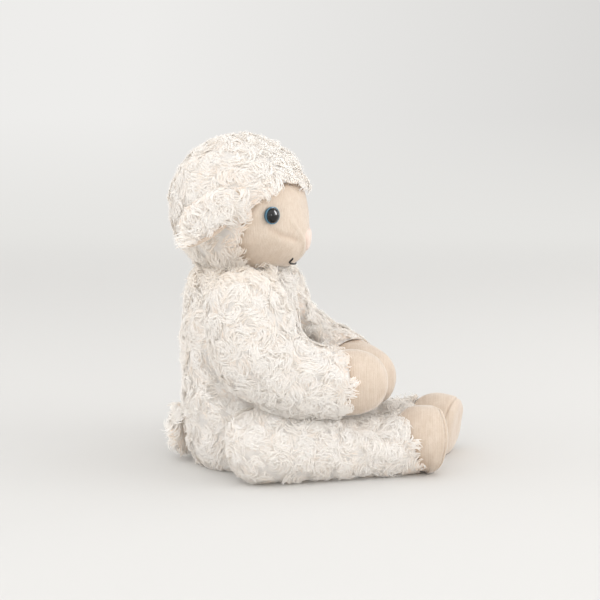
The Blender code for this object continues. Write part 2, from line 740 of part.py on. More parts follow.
def leg_course(side):
    """The leg's rows: x, y, z and its radius twice, from the hip to the sole."""
    length = LEG_LENGTH + (LEFT_LEG_LONGER if side == LEFT else 0.0)
    foot_spread = LEFT_FOOT_SPREAD if side == LEFT else RIGHT_FOOT_SPREAD
    rows = []
    for forward, inward, radius in LEG_COURSE_SHARES:
        spread = LEG_ROOT_SPREAD + inward * (foot_spread - LEG_ROOT_SPREAD)
        sag = LEG_SAG + (LEFT_FOOT_SAG * forward ** 5 if side == LEFT else 0.0)
        rows.append((HIP_X + forward * length, side * spread, radius * LEG_RADIUS - sag,
                     radius * LEG_RADIUS, radius * LEG_RADIUS))
    return rows


def torso_side(spots, clear):
    """The half-width at each point's place of a torso that is thicker by clear."""
    course = np.array(torso_course())
    row = smooth_course(course, (spots[:, 2] - course[0, 2]) / np.ptp(course[:, 2]))
    ahead = np.clip((spots[:, 0] - row[:, 0]) / (row[:, 3] + clear), -1.0, 1.0)
    return (row[:, 4] + clear) * np.sqrt(1.0 - ahead ** 2)


def leg_spots(side, unit, share, inset, end_inset=0.0):
    """Points of the leg, pressed flat on the floor and hollowed where the torso is."""
    course = leg_course(side)
    station = end_inset + share * (1.0 - 2 * end_inset)
    spots = swept(course, unit, station, (0.0, 1.0, 0.0), inset)
    centre = smooth_course(course, station)[:, :3]
    ends = rounded_end(share, LEG_ROOT_END_SHARE)
    ends *= rounded_end(1.0 - share, LEG_FOOT_END_SHARE, SOLE_BLUNTNESS)
    spots = centre + (spots - centre) * ends[:, None]
    outward = side * spots[:, 1]
    spots[:, 1] = side * np.maximum(outward, torso_side(spots, FOLD_GAP + inset))
    spots[:, 2] = np.maximum(spots[:, 2], inset)
    return spots


def make_leg(side, looks, parts):
    """A fleece sleeve, a velour foot closed by a sole, and the stuffing through them."""
    prefix = SIDE_NAMES[side]
    hinge = joint_empty(prefix + "_hip_axis",
                        (HIP_X, side * TORSO_WIDTH / 2, LEG_RADIUS), parts)
    length = float(np.linalg.norm(np.diff(np.array(leg_course(side))[:, :3], axis=0),
                                  axis=1).sum())
    gap = FOLD_GAP / 2 / length

    def sleeve_form(unit):
        station = (LEG_CUFF_SHARE - gap) * polar_share(unit, 1) ** LEG_RING_POWER
        return leg_spots(side, unit, station, 0.0)

    def foot_station(share):
        return 1.0 - (1.0 - LEG_CUFF_SHARE - gap) * share ** FOOT_RING_POWER

    def foot_form(unit):
        return leg_spots(side, unit, foot_station(polar_share(unit, -1)), 0.0)

    def sole_form(unit):
        share = polar_share(unit, -1) * (1.0 - SEAM_GAP / LEG_RADIUS * FOOT_STEPS)
        return leg_spots(side, unit, foot_station(share), 0.0)

    def filling_form(unit):
        inset = FLEECE_WALL + FILLING_GAP
        return leg_spots(side, unit, 0.5 * (1.0 - unit[:, 2]), inset,
                         FILLING_END_SHARE * inset / length)

    sole_edge = -math.cos(math.pi / 2 * SOLE_RINGS / FOOT_STEPS)
    upper = unit_ball(LEG_SIDES, 2 * LEG_STEPS, lambda height: height > 0)
    sleeve = add_object(prefix + "_leg_fleece", warp(upper, sleeve_form, "sleeve"), parts,
                        looks["fleece"], hinge)
    give_wall(sleeve, FLEECE_WALL)
    tube = unit_ball(LEG_SIDES, 2 * FOOT_STEPS, lambda height: sole_edge < height < 0)
    foot = add_object(prefix + "_foot_velour", warp(tube, foot_form, "foot"), parts,
                      looks["velour"], hinge)
    give_wall(foot, VELOUR_WALL)
    disc = unit_ball(LEG_SIDES, 2 * FOOT_STEPS, lambda height: height < sole_edge)
    sole = add_object(prefix + "_sole_velour", warp(disc, sole_form, "sole"), parts,
                      looks["velour"], hinge)
    give_wall(sole, VELOUR_WALL)
    whole = unit_ball(LEG_SIDES, LEG_STEPS + EXTRA_FILLING_STEPS, lambda height: True)
    add_object(prefix + "_leg_stuffing", warp(whole, filling_form, "filling"), parts,
               looks["stuffing"], hinge)


# Tail

def tail_form(unit):
    """A flat drop that hangs from the torso's back."""
    station = (1.0 - unit[:, 2]) / 2
    course = [(TAIL_ROOT_X + forward * TAIL_LENGTH, 0.0, TAIL_ROOT_HEIGHT - down * TAIL_LENGTH,
               depth * TAIL_THICKNESS, width * TAIL_WIDTH)
              for forward, down, depth, width in TAIL_COURSE_SHARES]
    spots = swept(course, unit, station, (0.0, 1.0, 0.0))
    centre = smooth_course(course, station)[:, :3]
    ends = rounded_end(station, TAIL_ROOT_END_SHARE)
    ends *= rounded_end(1.0 - station, TAIL_TIP_END_SHARE)
    return centre + (spots - centre) * ends[:, None]


def make_tail(looks, parts):
    """The tail, hinged where its upper end is sewn to the torso."""
    root = (TAIL_ROOT_X + TAIL_THICKNESS / 2, 0.0, TAIL_ROOT_HEIGHT)
    hinge = joint_empty("tail_axis", root, parts)
    ball = unit_ball(TAIL_SIDES, TAIL_STEPS, lambda height: True)
    add_object("tail_fleece", warp(ball, tail_form, "tail_fleece"), parts, looks["fleece"],
               hinge)


def main():
    """Build the lamb."""
    clear_scene()
    parts = new_collection("plush_sheep")
    cutters = new_collection("cutters")
    looks = {
        "fleece": material("curly_fleece", (0.90, 0.86, 0.81), 0.95),
        "velour": material("beige_velour", (0.70, 0.58, 0.47), 0.90),
        "nose": material("nose_velour", (0.86, 0.70, 0.61), 0.90),
        "stuffing": material("polyester_stuffing", (0.92, 0.92, 0.92), 1.0),
        "bag": material("pellet_bag_cloth", (0.85, 0.85, 0.83), 0.90),
        "eye": material("eye_plastic", (0.01, 0.012, 0.016), 0.08),
        "washer": material("washer_plastic", (0.80, 0.80, 0.80), 0.50),
        "thread": material("mouth_thread", (0.02, 0.02, 0.02), 0.70),
    }
    make_torso(looks, parts, cutters)
    make_head(looks, parts, cutters)
    for side in (RIGHT, LEFT):
        make_arm(side, looks, parts)
        make_leg(side, looks, parts)
    make_tail(looks, parts)


main()
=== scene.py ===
"""A sitting plush lamb of curly fleece and beige velour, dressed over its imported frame."""
import math

import bpy
import numpy as np
from mathutils import Matrix, Vector


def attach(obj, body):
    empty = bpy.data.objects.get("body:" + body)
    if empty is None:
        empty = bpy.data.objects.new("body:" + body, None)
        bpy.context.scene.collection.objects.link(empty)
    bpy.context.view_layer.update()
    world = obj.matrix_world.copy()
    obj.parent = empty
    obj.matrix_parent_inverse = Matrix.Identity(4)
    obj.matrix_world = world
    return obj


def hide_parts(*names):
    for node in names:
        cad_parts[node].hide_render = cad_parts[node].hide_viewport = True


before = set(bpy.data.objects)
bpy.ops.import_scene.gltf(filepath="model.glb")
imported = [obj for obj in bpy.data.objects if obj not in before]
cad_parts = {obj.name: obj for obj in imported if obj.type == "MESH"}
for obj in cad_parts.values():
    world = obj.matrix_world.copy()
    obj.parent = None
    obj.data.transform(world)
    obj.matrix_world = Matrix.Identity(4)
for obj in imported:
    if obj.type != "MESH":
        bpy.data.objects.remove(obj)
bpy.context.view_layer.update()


# The photographer's view: a long lens nearly square on to the lamb's right side, looking
# slightly down, from 0.85 m. The frame is 360 mm wide where the lamb sits.

VIEW_AZIMUTH = math.radians(5)
VIEW_ELEVATION = math.radians(7)
VIEW_DISTANCE = 0.850
VIEW_RIGHT = 0.033
VIEW_UP = 0.0954
back = Vector((math.sin(VIEW_AZIMUTH) * math.cos(VIEW_ELEVATION),
               -math.cos(VIEW_AZIMUTH) * math.cos(VIEW_ELEVATION), math.sin(VIEW_ELEVATION)))
right = Vector((math.cos(VIEW_AZIMUTH), math.sin(VIEW_AZIMUTH), 0.0))
up = back.cross(right)
lens = bpy.data.cameras.new("photo_camera")
lens.lens = 85.0
lens.sensor_width = 36.0
lens.clip_start = 0.05
lens.clip_end = 20.0
camera = bpy.data.objects.new("photo_camera", lens)
bpy.context.scene.collection.objects.link(camera)
camera.matrix_world = Matrix((
    (*right, 0.0), (*up, 0.0), (*back, 0.0), (0.0, 0.0, 0.0, 1.0))).transposed()
camera.location = back * VIEW_DISTANCE + right * VIEW_RIGHT + up * VIEW_UP
bpy.context.scene.camera = camera
bpy.context.scene.view_settings.view_transform = 'Standard'


# The studio: a pale paper sweep that runs from the floor up into a backdrop, inside a light
# tent. Soft boxes all round light the lamb almost evenly, and a white room fills the rest.

def linear(code):
    """The linear colour of an sRGB hex code."""
    part = np.array([int(code[i:i + 2], 16) for i in (1, 3, 5)]) / 255.0
    value = np.where(part <= 0.04045, part / 12.92, ((part + 0.055) / 1.055) ** 2.4)
    return (*value, 1.0)


def add_node(tree, kind, settings=None, values=None, links=None):
    """One node, with its settings, its socket values and the sockets that feed it."""
    node = tree.nodes.new(kind)
    for name, value in (settings or {}).items():
        setattr(node, name, value)
    for name, value in (values or {}).items():
        node.inputs[name].default_value = value
    for name, source in (links or {}).items():
        tree.links.new(source, node.inputs[name])
    return node


def put_mesh(name, points, faces):
    """A mesh object from an array of points and a list of arrays of faces of one size each."""
    mesh = bpy.data.meshes.new(name)
    sizes = np.concatenate([np.full(len(part), part.shape[1]) for part in faces])
    corners = np.concatenate([part.ravel() for part in faces]).astype(np.int32)
    mesh.vertices.add(len(points))
    mesh.vertices.foreach_set("co", np.ascontiguousarray(points, np.float32).ravel())
    mesh.loops.add(len(corners))
    mesh.loops.foreach_set("vertex_index", corners)
    mesh.polygons.add(len(sizes))
    starts = np.concatenate(((0,), np.cumsum(sizes)[:-1])).astype(np.int32)
    mesh.polygons.foreach_set("loop_start", starts)
    mesh.polygons.foreach_set("loop_total", sizes.astype(np.int32))
    mesh.update(calc_edges=True)
    mesh.shade_smooth()
    piece = bpy.data.objects.new(name, mesh)
    bpy.context.scene.collection.objects.link(piece)
    return piece


SWEEP_FRONT = -2.4
SWEEP_BACK = 2.6
SWEEP_BEND = 0.9
SWEEP_HALF_WIDTH = 4.0
SWEEP_TOP = 3.2

across = np.linspace(-SWEEP_HALF_WIDTH, SWEEP_HALF_WIDTH, 9)
quarter = np.linspace(0.0, math.pi / 2, 25)
profile_y = np.concatenate(((SWEEP_FRONT, 0.0), SWEEP_BACK - SWEEP_BEND
                            + SWEEP_BEND * np.sin(quarter), (SWEEP_BACK,)))
profile_z = np.concatenate(((0.0, 0.0), SWEEP_BEND * (1.0 - np.cos(quarter)), (SWEEP_TOP,)))
sweep_points = np.stack(np.broadcast_arrays(across[None, :], profile_y[:, None],
                                            profile_z[:, None]), axis=-1).reshape(-1, 3)
row, column = np.meshgrid(np.arange(len(profile_y) - 1), np.arange(len(across) - 1),
                          indexing="ij")
corner = (row * len(across) + column).ravel()
sweep_faces = np.stack((corner, corner + 1, corner + 1 + len(across),
                        corner + len(across)), axis=1)
sweep = put_mesh("paper_sweep", sweep_points, [sweep_faces])
paper = bpy.data.materials.new("matt_seamless_paper")
paper.use_nodes = True
tree = paper.node_tree
tree.nodes.clear()
place = add_node(tree, "ShaderNodeTexCoord")
split = add_node(tree, "ShaderNodeSeparateXYZ", links={"Vector": place.outputs["Object"]})
# How far up the backdrop a point lies, from the floor to the top of the frame
height = add_node(tree, "ShaderNodeMapRange", values={"From Min": 0.0, "From Max": 0.22},
                  links={"Value": split.outputs["Z"]})
sideways = add_node(tree, "ShaderNodeMapRange", values={"From Min": -0.55, "From Max": 0.65},
                    links={"Value": split.outputs["X"]})
# Painted light and shade on the glowing backdrop: lighter high on the left, darker high on the right
high = add_node(tree, "ShaderNodeMix", {"data_type": 'RGBA'},
                {6: linear("#EEEDEB"), 7: linear("#D9D8D6")},
                {0: sideways.outputs[0]})
wall = add_node(tree, "ShaderNodeMix", {"data_type": 'RGBA'}, {6: linear("#E6E5E2")},
                {0: height.outputs[0], 7: high.outputs[2]})
painted_backdrop_light = add_node(tree, "ShaderNodeEmission", links={"Color": wall.outputs[2]})
matt = add_node(tree, "ShaderNodeBsdfPrincipled",
                values={"Base Color": linear("#D7D5D2"), "Roughness": 0.95,
                        "Specular IOR Level": 0.1})
# The lit floor gives way to a backdrop behind the lamb that glows with painted light and shade
far = add_node(tree, "ShaderNodeMapRange",
               {"interpolation_type": 'SMOOTHSTEP'},
               {"From Min": 0.35, "From Max": 1.9},
               {"Value": split.outputs["Y"]})
path = add_node(tree, "ShaderNodeLightPath")
seen = add_node(tree, "ShaderNodeMath", {"operation": 'MAXIMUM'},
                links={0: path.outputs["Is Camera Ray"], 1: path.outputs["Is Glossy Ray"]})
seen = add_node(tree, "ShaderNodeMath", {"operation": 'MAXIMUM'},
                links={0: seen.outputs[0], 1: path.outputs["Is Transmission Ray"]})
share = add_node(tree, "ShaderNodeMath", {"operation": 'MULTIPLY'},
                 links={0: seen.outputs[0], 1: far.outputs[0]})
mixed = add_node(tree, "ShaderNodeMixShader",
                 links={0: share.outputs[0], 1: matt.outputs[0], 2: painted_backdrop_light.outputs[0]})
add_node(tree, "ShaderNodeOutputMaterial", links={"Surface": mixed.outputs[0]})
sweep.data.materials.append(paper)

room = bpy.data.worlds.new("white_room")
room.use_nodes = True
room.node_tree.nodes["Background"].inputs["Color"].default_value = linear("#FDFEFF")
room.node_tree.nodes["Background"].inputs["Strength"].default_value = 1.08
bpy.context.scene.world = room


def soft_box(name, place, aim, width, height, power, tint, shadow=True):
    """A rectangular lamp at a place, facing a point."""
    lamp = bpy.data.lights.new(name, 'AREA')
    lamp.shape = 'RECTANGLE'
    lamp.size = width
    lamp.size_y = height
    lamp.energy = power
    lamp.color = linear(tint)[:3]
    lamp.use_shadow = shadow
    made = bpy.data.objects.new(name, lamp)
    bpy.context.scene.collection.objects.link(made)
    way = Vector(aim) - Vector(place)
    facing = way.to_track_quat('-Z', 'Y').to_matrix().to_4x4()
    made.matrix_world = Matrix.Translation(place) @ facing
    return made


LAMB_MIDDLE = (0.02, 0.0, 0.09)
soft_box("overhead_soft_box", (-0.45, -0.45, 1.10), LAMB_MIDDLE, 1.3, 1.3, 1.0, "#FFFFFE")
soft_box("side_window", (1.05, 0.72, 0.38), LAMB_MIDDLE, 0.50, 0.60, 1.5, "#FFFFFF")
soft_box("front_fill", (-0.25, -1.60, 0.12), LAMB_MIDDLE, 2.2, 1.2, 3.7, "#FFFFFE")
soft_box("right_fill", (1.50, -0.30, 0.45), LAMB_MIDDLE, 1.2, 1.0, 3.0, "#FFFFFE")
soft_box("back_fill", (-1.40, -0.35, 0.30), LAMB_MIDDLE, 1.0, 0.8, 5.0, "#FFFFFE")
# The white walls of a light tent fill into the folds too, so that these cast no shadow
soft_box("tent_front", (0.30, -0.95, 1.30), LAMB_MIDDLE, 1.8, 1.2, 2.7, "#FFFFFE", False)
soft_box("tent_right", (1.45, -0.35, 0.70), LAMB_MIDDLE, 1.2, 1.0, 4.3, "#FFFFFE", False)
# Two glints for polished surfaces: they light nothing else
for glint in (soft_box("window_glint", (0.92, -0.08, 0.62), LAMB_MIDDLE, 0.34, 0.80, 15.0,
                       "#FFFFFF"),
              soft_box("small_glint", (0.38, -0.96, 0.28), LAMB_MIDDLE, 0.13, 0.13, 0.8,
                       "#FFFFFF")):
    glint.visible_diffuse = False
    glint.visible_transmission = False


# The torso: a pear-shaped bag of curly fleece, sewn closed under the head and stuffed with
# fibre over a bag of pellets. The fleece is a knitted backing with an 8 mm pile, set in
# swirls, so that it lies in whorls about 12 mm across, with warm painted shade in the creases
# between them.

def unit_length(vectors):
    """Vectors scaled to a length of 1."""
    return vectors / np.linalg.norm(vectors, axis=-1)[..., None]


def read_course(rows, station):
    """A Catmull-Rom curve through the rows, read at stations from 0 to 1 of its length."""
    rows = np.asarray(rows, float)
    last = len(rows) - 1
    steps = np.linalg.norm(np.diff(rows[:, :3], axis=0), axis=1)
    knots = np.concatenate(((0.0,), np.cumsum(steps))) / steps.sum()
    along = np.interp(np.clip(station, 0.0, 1.0), knots, np.arange(last + 1))
    first = np.minimum(along.astype(int), last - 1)
    part = (along - first)[:, None]
    before, start = rows[np.maximum(first - 1, 0)], rows[first]
    end, after = rows[first + 1], rows[np.minimum(first + 2, last)]
    return 0.5 * (2 * start + (end - before) * part
                  + (2 * before - 5 * start + 4 * end - after) * part ** 2
                  + (3 * start - before - 3 * end + after) * part ** 3)


def round_end(station, share, bluntness=2.0):
    """A radius share that rises from 0 at station 0 to 1 at share, like a rounded end."""
    inward = np.clip((share - station) / share, 0.0, 1.0)
    return (1.0 - inward ** bluntness) ** (1.0 / bluntness)


def tube(rows, station, turn, inset, ends):
    """Points round a course, ring by ring.

    Row values are x, y, z, the radius square to Y and the radius along Y. A ring lies square
    to the course, and ends is the share of the radius that each ring keeps.
    """
    centre = read_course(rows, station)
    forward = (read_course(rows, np.minimum(station + 0.001, 1.0))[:, :3]
               - read_course(rows, np.maximum(station - 0.001, 0.0))[:, :3])
    forward = unit_length(forward)
    side = np.array((0.0, 1.0, 0.0)) - forward[:, 1:2] * forward
    side = unit_length(side)
    upright = np.cross(forward, side)
    wide = np.maximum(centre[:, 3] - inset, 0.0) * ends
    deep = np.maximum(centre[:, 4] - inset, 0.0) * ends
    return (centre[:, None, :3]
            + upright[:, None] * (wide[:, None] * np.cos(turn))[..., None]
            + side[:, None] * (deep[:, None] * np.sin(turn))[..., None])


def skin_mesh(surface):
    """Points and faces of a grid of rings that starts and ends in a point, facing outwards."""
    rings, sides = surface.shape[:2]
    inner = surface[1:-1].reshape(-1, 3)
    points = np.concatenate((surface[:1].mean(axis=1), inner, surface[-1:].mean(axis=1)))
    ring, step = np.meshgrid(np.arange(rings - 3), np.arange(sides), indexing="ij")
    here, there = 1 + ring * sides + step, 1 + ring * sides + (step + 1) % sides
    quads = np.stack((here, here + sides, there + sides, there), axis=-1).reshape(-1, 4)
    step = np.arange(sides)
    low, high = 1 + step, 1 + (step + 1) % sides
    last = len(points) - 1
    base = last - sides
    fans = np.concatenate((np.stack((np.zeros_like(step), low, high), axis=1),
                           np.stack((base + step, np.full(sides, last),
                                     base + (step + 1) % sides), axis=1)))
    return points, quads, fans


def per_point(surface, values):
    """Values of a grid of rings in the order of skin_mesh's points."""
    flat = values[1:-1].reshape(-1, values.shape[-1])
    return np.concatenate((values[:1].mean(axis=1), flat, values[-1:].mean(axis=1)))


def outward_normals(surface):
    """Unit normals of a grid of rings: the cross product of its two directions."""
    around = np.roll(surface, -1, axis=1) - np.roll(surface, 1, axis=1)
    along = np.gradient(surface, axis=0)
    normal = np.cross(along, around)
    length = np.linalg.norm(normal, axis=2)[..., None]
    normal = np.divide(normal, length, out=np.zeros_like(normal), where=length > 1e-12)
    for end, inner in ((0, 1), (-1, -2)):
        if np.ptp(surface[end], axis=0).max() < 1e-4:
            mean = normal[inner].mean(axis=0)
            normal[end] = mean / np.linalg.norm(mean)
    return normal


WHORL_SPACING = 0.0120
LOCK_RADIUS = 0.0030
LOCK_STRANDS = 11
STRAND_WIDTH = 0.00074
STRAND_LENGTH = 0.0105
STRAND_RINGS = 4
STRAND_FLATNESS = 0.15
PILE_HEIGHT = 0.0019
TUFT_RISE = 0.0014
BACKING_INSET = 0.0001
# Each strand's path is worked out at this many steps to a ring
FINE_STEPS = 4
# The least and greatest curvature that a strand follows, and radius that it circles with
BEND_LIMITS = (-20.0, 75.0)
CURL_RADII = (0.0045, 0.0140)
CROWN_PITCH = 0.011
SWELL_PITCH = 0.013
DRIFT_PITCH = 0.030
DRIFT_SHARE = 0.55
LOOSE_SHARE = 0.07
LOOSE_RISE = 1.75
STRAND_WAVE = 0.38
FABRIC_WALL = 0.0008
STRANDS_PER_MM2 = 0.87
UNDERCOAT = 0.0006


def waves(places, pitch, seed, count=26):
    """Smooth noise from -1 to 1: a sum of waves of one pitch that run in random directions."""
    chance = np.random.default_rng(seed)
    ways = chance.normal(size=(count, 3))
    ways = unit_length(ways)
    rate = math.tau / pitch * chance.uniform(0.7, 1.35, count)
    phase = chance.random(count) * math.tau
    total = np.sin(places @ (ways * rate[:, None]).T + phase).sum(-1)
    return total / math.sqrt(count) * 0.8


def spread_centres(places, count):
    """Places far from each other: each new one is the farthest from those chosen so far."""
    chosen = [0]
    reach = np.linalg.norm(places - places[0], axis=1)
    for _ in range(count - 1):
        chosen.append(int(reach.argmax()))
        reach = np.minimum(reach, np.linalg.norm(places - places[chosen[-1]], axis=1))
    return places[chosen]


def grow_pile(surface, seed, thickness=None, comb=None, density=None, fence=None, edge=None,
              shade=None):
    """Strands of pile on a grid of rings, as points, four-sided and three-sided faces and tones.

    Locks are spread evenly by area. Each lock takes its heading from the whorls near it,
    which it circles, and from a smooth random drift. Its path is an arc in the surface's
    tangent plane, bent down by the surface's own curvature and lifted by the pile's height.
    The strands of a lock start round it, stand highest in its middle and draw together
    towards its tip.
    thickness, comb and density are functions of place and normal: the share of the full
    height, a heading to add, and the share of the full count. fence moves points to where
    they may be. edge is how near a place is to an open edge, 1 at it: strands are shorter
    there and their tips settle on what lies beside. shade is how much painted warm shade a
    place gets, standing for light that has come through other fibres. The tones also mark
    the roots and the strands that lie low for painted shade.
    """
    chance = np.random.default_rng(seed)
    normals = outward_normals(surface)
    wrapped = np.concatenate((surface, surface[:, :1]), axis=1)
    wrapped_normals = np.concatenate((normals, normals[:, :1]), axis=1)
    diagonal_a = wrapped[1:, 1:] - wrapped[:-1, :-1]
    diagonal_b = wrapped[1:, :-1] - wrapped[:-1, 1:]
    area = 0.5 * np.linalg.norm(np.cross(diagonal_a, diagonal_b), axis=2)
    middle = (wrapped[1:, 1:] + wrapped[:-1, :-1]) / 2
    middle_normal = (wrapped_normals[1:, 1:] + wrapped_normals[:-1, :-1]) / 2
    weight = area if density is None else area * density(middle, middle_normal)
    total = weight.sum()
    locks = max(int(total * 1e6 * STRANDS_PER_MM2 / LOCK_STRANDS), 12)
    ladder = np.cumsum(weight.ravel())
    picks = (np.arange(locks) + chance.random(locks)) / locks * total
    cell = np.minimum(np.searchsorted(ladder, picks), ladder.size - 1)
    ring, step = np.divmod(cell, area.shape[1])
    down, over = chance.random((2, locks, 1))

    def blend_corners(grid):
        upper = grid[ring, step] * (1 - over) + grid[ring, step + 1] * over
        lower = grid[ring + 1, step] * (1 - over) + grid[ring + 1, step + 1] * over
        return upper * (1 - down) + lower * down

    root = blend_corners(wrapped)
    normal = blend_corners(wrapped_normals)
    normal = unit_length(normal)
    # The surface's curvature along its two grid directions
    around = wrapped[ring, step + 1] - wrapped[ring, step]
    around_length = np.maximum(np.linalg.norm(around, axis=1), 1e-6)
    around_bend = (((wrapped_normals[ring, step + 1] - wrapped_normals[ring, step]) * around)
                   .sum(1) / around_length ** 2)
    along = wrapped[ring + 1, step] - wrapped[ring, step]
    along_length = np.maximum(np.linalg.norm(along, axis=1), 1e-6)
    along_bend = (((wrapped_normals[ring + 1, step] - wrapped_normals[ring, step]) * along)
                  .sum(1) / along_length ** 2)
    around = around / around_length[:, None]
    along = along / along_length[:, None]
    around_bend = np.clip(around_bend, *BEND_LIMITS)
    along_bend = np.clip(along_bend, *BEND_LIMITS)

    centres = spread_centres(root, max(int(area.sum() / (0.87 * WHORL_SPACING ** 2)), 4))
    centres = centres + chance.normal(0.0, 0.15 * WHORL_SPACING, centres.shape)
    spin = np.where(chance.random(len(centres)) < 0.5, -1.0, 1.0)
    away = root[:, None] - centres[None]
    away -= (away * normal[:, None]).sum(2)[..., None] * normal[:, None]
    gap = np.linalg.norm(root[:, None] - centres[None], axis=2)
    pull = np.exp(-(gap / (0.55 * WHORL_SPACING)) ** 2)
    unit = away / np.maximum(np.linalg.norm(away, axis=2), 1e-6)[..., None]
    circling = np.cross(normal[:, None], unit) * spin[None, :, None]
    heading = ((circling - 0.30 * unit) * pull[..., None]).sum(1)
    heading /= np.maximum(np.linalg.norm(heading, axis=1), 0.35)[:, None]
    drift = np.stack([waves(root, DRIFT_PITCH, 100 * seed + axis) for axis in range(3)], axis=1)
    heading = heading + DRIFT_SHARE * drift
    if comb is not None:
        heading = heading + comb(root, normal)
    heading += chance.normal(0.0, 0.16, heading.shape)
    heading -= (heading * normal).sum(1)[:, None] * normal
    heading /= np.maximum(np.linalg.norm(heading, axis=1), 1e-9)[:, None]
    order = np.sort(gap, axis=1)
    nearest = gap.argmin(axis=1)
    inside = np.clip((order[:, 1] - order[:, 0]) / (order[:, 1] + order[:, 0] + 1e-9) * 2.5,
                     0.0, 1.0)
    crown = (0.88 + 0.13 * waves(root, CROWN_PITCH, 100 * seed + 7)
             - 0.26 * (1.0 - inside) ** 2)
    curl = spin[nearest] / np.clip(1.2 * order[:, 0], *CURL_RADII)
    swell = TUFT_RISE * (0.6 * inside + 0.4 * waves(root, SWELL_PITCH, 100 * seed + 9))
    settled = np.zeros(locks) if edge is None else edge(root, normal)
    if thickness is not None:
        share = thickness(root, normal)
        crown = crown * share
        swell = swell * np.clip(share, 0.0, 1.0)

    # One row for each strand of each lock
    pick = np.repeat(np.arange(locks), LOCK_STRANDS)
    strands = len(pick)
    here, out = root[pick], normal[pick]
    ahead = heading[pick]
    left = np.cross(out, ahead)
    offset = np.sqrt(chance.random(strands))
    compass = chance.random(strands) * math.tau
    start_a = LOCK_RADIUS * 1.3 * offset * np.cos(compass)
    start_b = LOCK_RADIUS * offset * np.sin(compass)
    reach = STRAND_LENGTH * chance.uniform(0.75, 1.15, locks)[pick]
    reach *= chance.uniform(0.8, 1.1, strands)
    reach *= np.clip(0.45 + 0.55 * crown[pick], 0.3, 1.25) * (1.0 - 0.58 * settled[pick])
    bend = curl[pick] * chance.uniform(0.88, 1.12, strands) * (1.0 + 0.8 * settled[pick])
    lean = chance.normal(0.0, 0.10, strands)
    standing = chance.uniform(0.86, 1.08, strands) * (1.0 - 0.13 * offset ** 2)
    standing *= chance.uniform(0.90, 1.08, locks)[pick]
    standing *= 1.0 - 0.55 * settled[pick] * chance.random(strands)
    tall = PILE_HEIGHT * crown[pick] * standing
    # A few loose fibres stand off the rest and soften the outline
    loose = chance.random(strands) < LOOSE_SHARE
    tall *= np.where(loose, LOOSE_RISE, 1.0)
    wave_phase = (chance.random(locks) * math.tau)[pick]

    share = np.linspace(0.0, 1.0, STRAND_RINGS + 1)
    fine = np.linspace(0.0, 1.0, FINE_STEPS * STRAND_RINGS + 1)
    angle = (lean[:, None] + bend[:, None] * reach[:, None] * fine
             + STRAND_WAVE * np.sin(fine * 5.2 + wave_phase[:, None]))
    run_a = np.concatenate((np.zeros((strands, 1)), np.cumsum(
        (np.cos(angle)[:, 1:] + np.cos(angle)[:, :-1]) / 2, axis=1)), axis=1)[:, ::FINE_STEPS]
    run_b = np.concatenate((np.zeros((strands, 1)), np.cumsum(
        (np.sin(angle)[:, 1:] + np.sin(angle)[:, :-1]) / 2, axis=1)), axis=1)[:, ::FINE_STEPS]
    gather = 1.0 - 0.35 * share ** 1.3
    path_a = run_a / (FINE_STEPS * STRAND_RINGS) * reach[:, None] + start_a[:, None] * gather
    path_b = run_b / (FINE_STEPS * STRAND_RINGS) * reach[:, None] + start_b[:, None] * gather
    lift = np.interp(share, (0.0, 0.25, 0.5, 0.75, 1.0), (0.10, 0.55, 0.86, 1.0, 0.80))
    flat = path_a[..., None] * ahead[:, None] + path_b[..., None] * left[:, None]
    drop = 0.5 * (around_bend[pick, None] * (flat * around[pick][:, None]).sum(2) ** 2
                  + along_bend[pick, None] * (flat * along[pick][:, None]).sum(2) ** 2)
    lift = lift * (1.0 - 0.85 * settled[pick][:, None] * share ** 2)
    rise = tall[:, None] * lift + swell[pick][:, None] * np.interp(
        share, (0.0, 0.3, 0.8, 1.0), (0.5, 1.0, 1.0, 0.6)) - drop
    path = here[:, None] + flat + rise[..., None] * out[:, None]
    if fence is not None:
        path = fence(path)

    tangent = np.gradient(path, axis=1)
    tangent /= np.maximum(np.linalg.norm(tangent, axis=2), 1e-9)[..., None]
    # The way out of the surface, followed round its curve
    outer = out[:, None] + (flat * around[pick][:, None]).sum(2)[..., None] * (
        around_bend[pick, None] * around[pick])[:, None] + (
        flat * along[pick][:, None]).sum(2)[..., None] * (along_bend[pick, None]
                                                          * along[pick])[:, None]
    outer = unit_length(outer)
    side = np.cross(tangent, outer)
    side /= np.maximum(np.linalg.norm(side, axis=2), 1e-9)[..., None]
    top = np.cross(side, tangent)
    taper = np.interp(share[:-1], (0.0, 0.4, 0.8, 1.0), (0.8, 1.0, 0.8, 0.3))
    girth = STRAND_WIDTH / 2 * chance.uniform(0.75, 1.25, strands)[:, None] * taper
    girth = girth * (np.where(loose, 0.6, 1.0) * (1.0 + 0.35 * settled[pick]))[:, None]
    spoke = np.arange(3) * math.tau / 3 + math.pi / 2
    across, above = np.cos(spoke), np.sin(spoke) * STRAND_FLATNESS
    rings = (path[:, :-1, None]
             + side[:, :-1, None] * (girth[..., None] * across)[..., None]
             + top[:, :-1, None] * (girth[..., None] * above)[..., None])
    each = STRAND_RINGS * 3 + 1
    points = np.concatenate((rings.reshape(strands, -1, 3), path[:, -1:]), axis=1)
    first = (np.arange(strands) * each)[:, None, None]
    ring, spot = np.meshgrid(np.arange(STRAND_RINGS - 1), np.arange(3), indexing="ij")
    low_corner, next_corner = ring * 3 + spot, ring * 3 + (spot + 1) % 3
    quads = np.stack((low_corner, low_corner + 3, next_corner + 3, next_corner),
                     axis=-1).reshape(-1, 4)
    last = (STRAND_RINGS - 1) * 3
    spots = np.arange(3)
    tips = np.stack((last + spots, np.full(3, each - 1), last + (spots + 1) % 3), axis=1)
    root_cap = np.array([[0, 1, 2]])
    quads = (first + quads).reshape(-1, 4)
    triangles = (first + np.concatenate((tips, root_cap))).reshape(-1, 3)
    tone = np.empty((strands, each, 4))
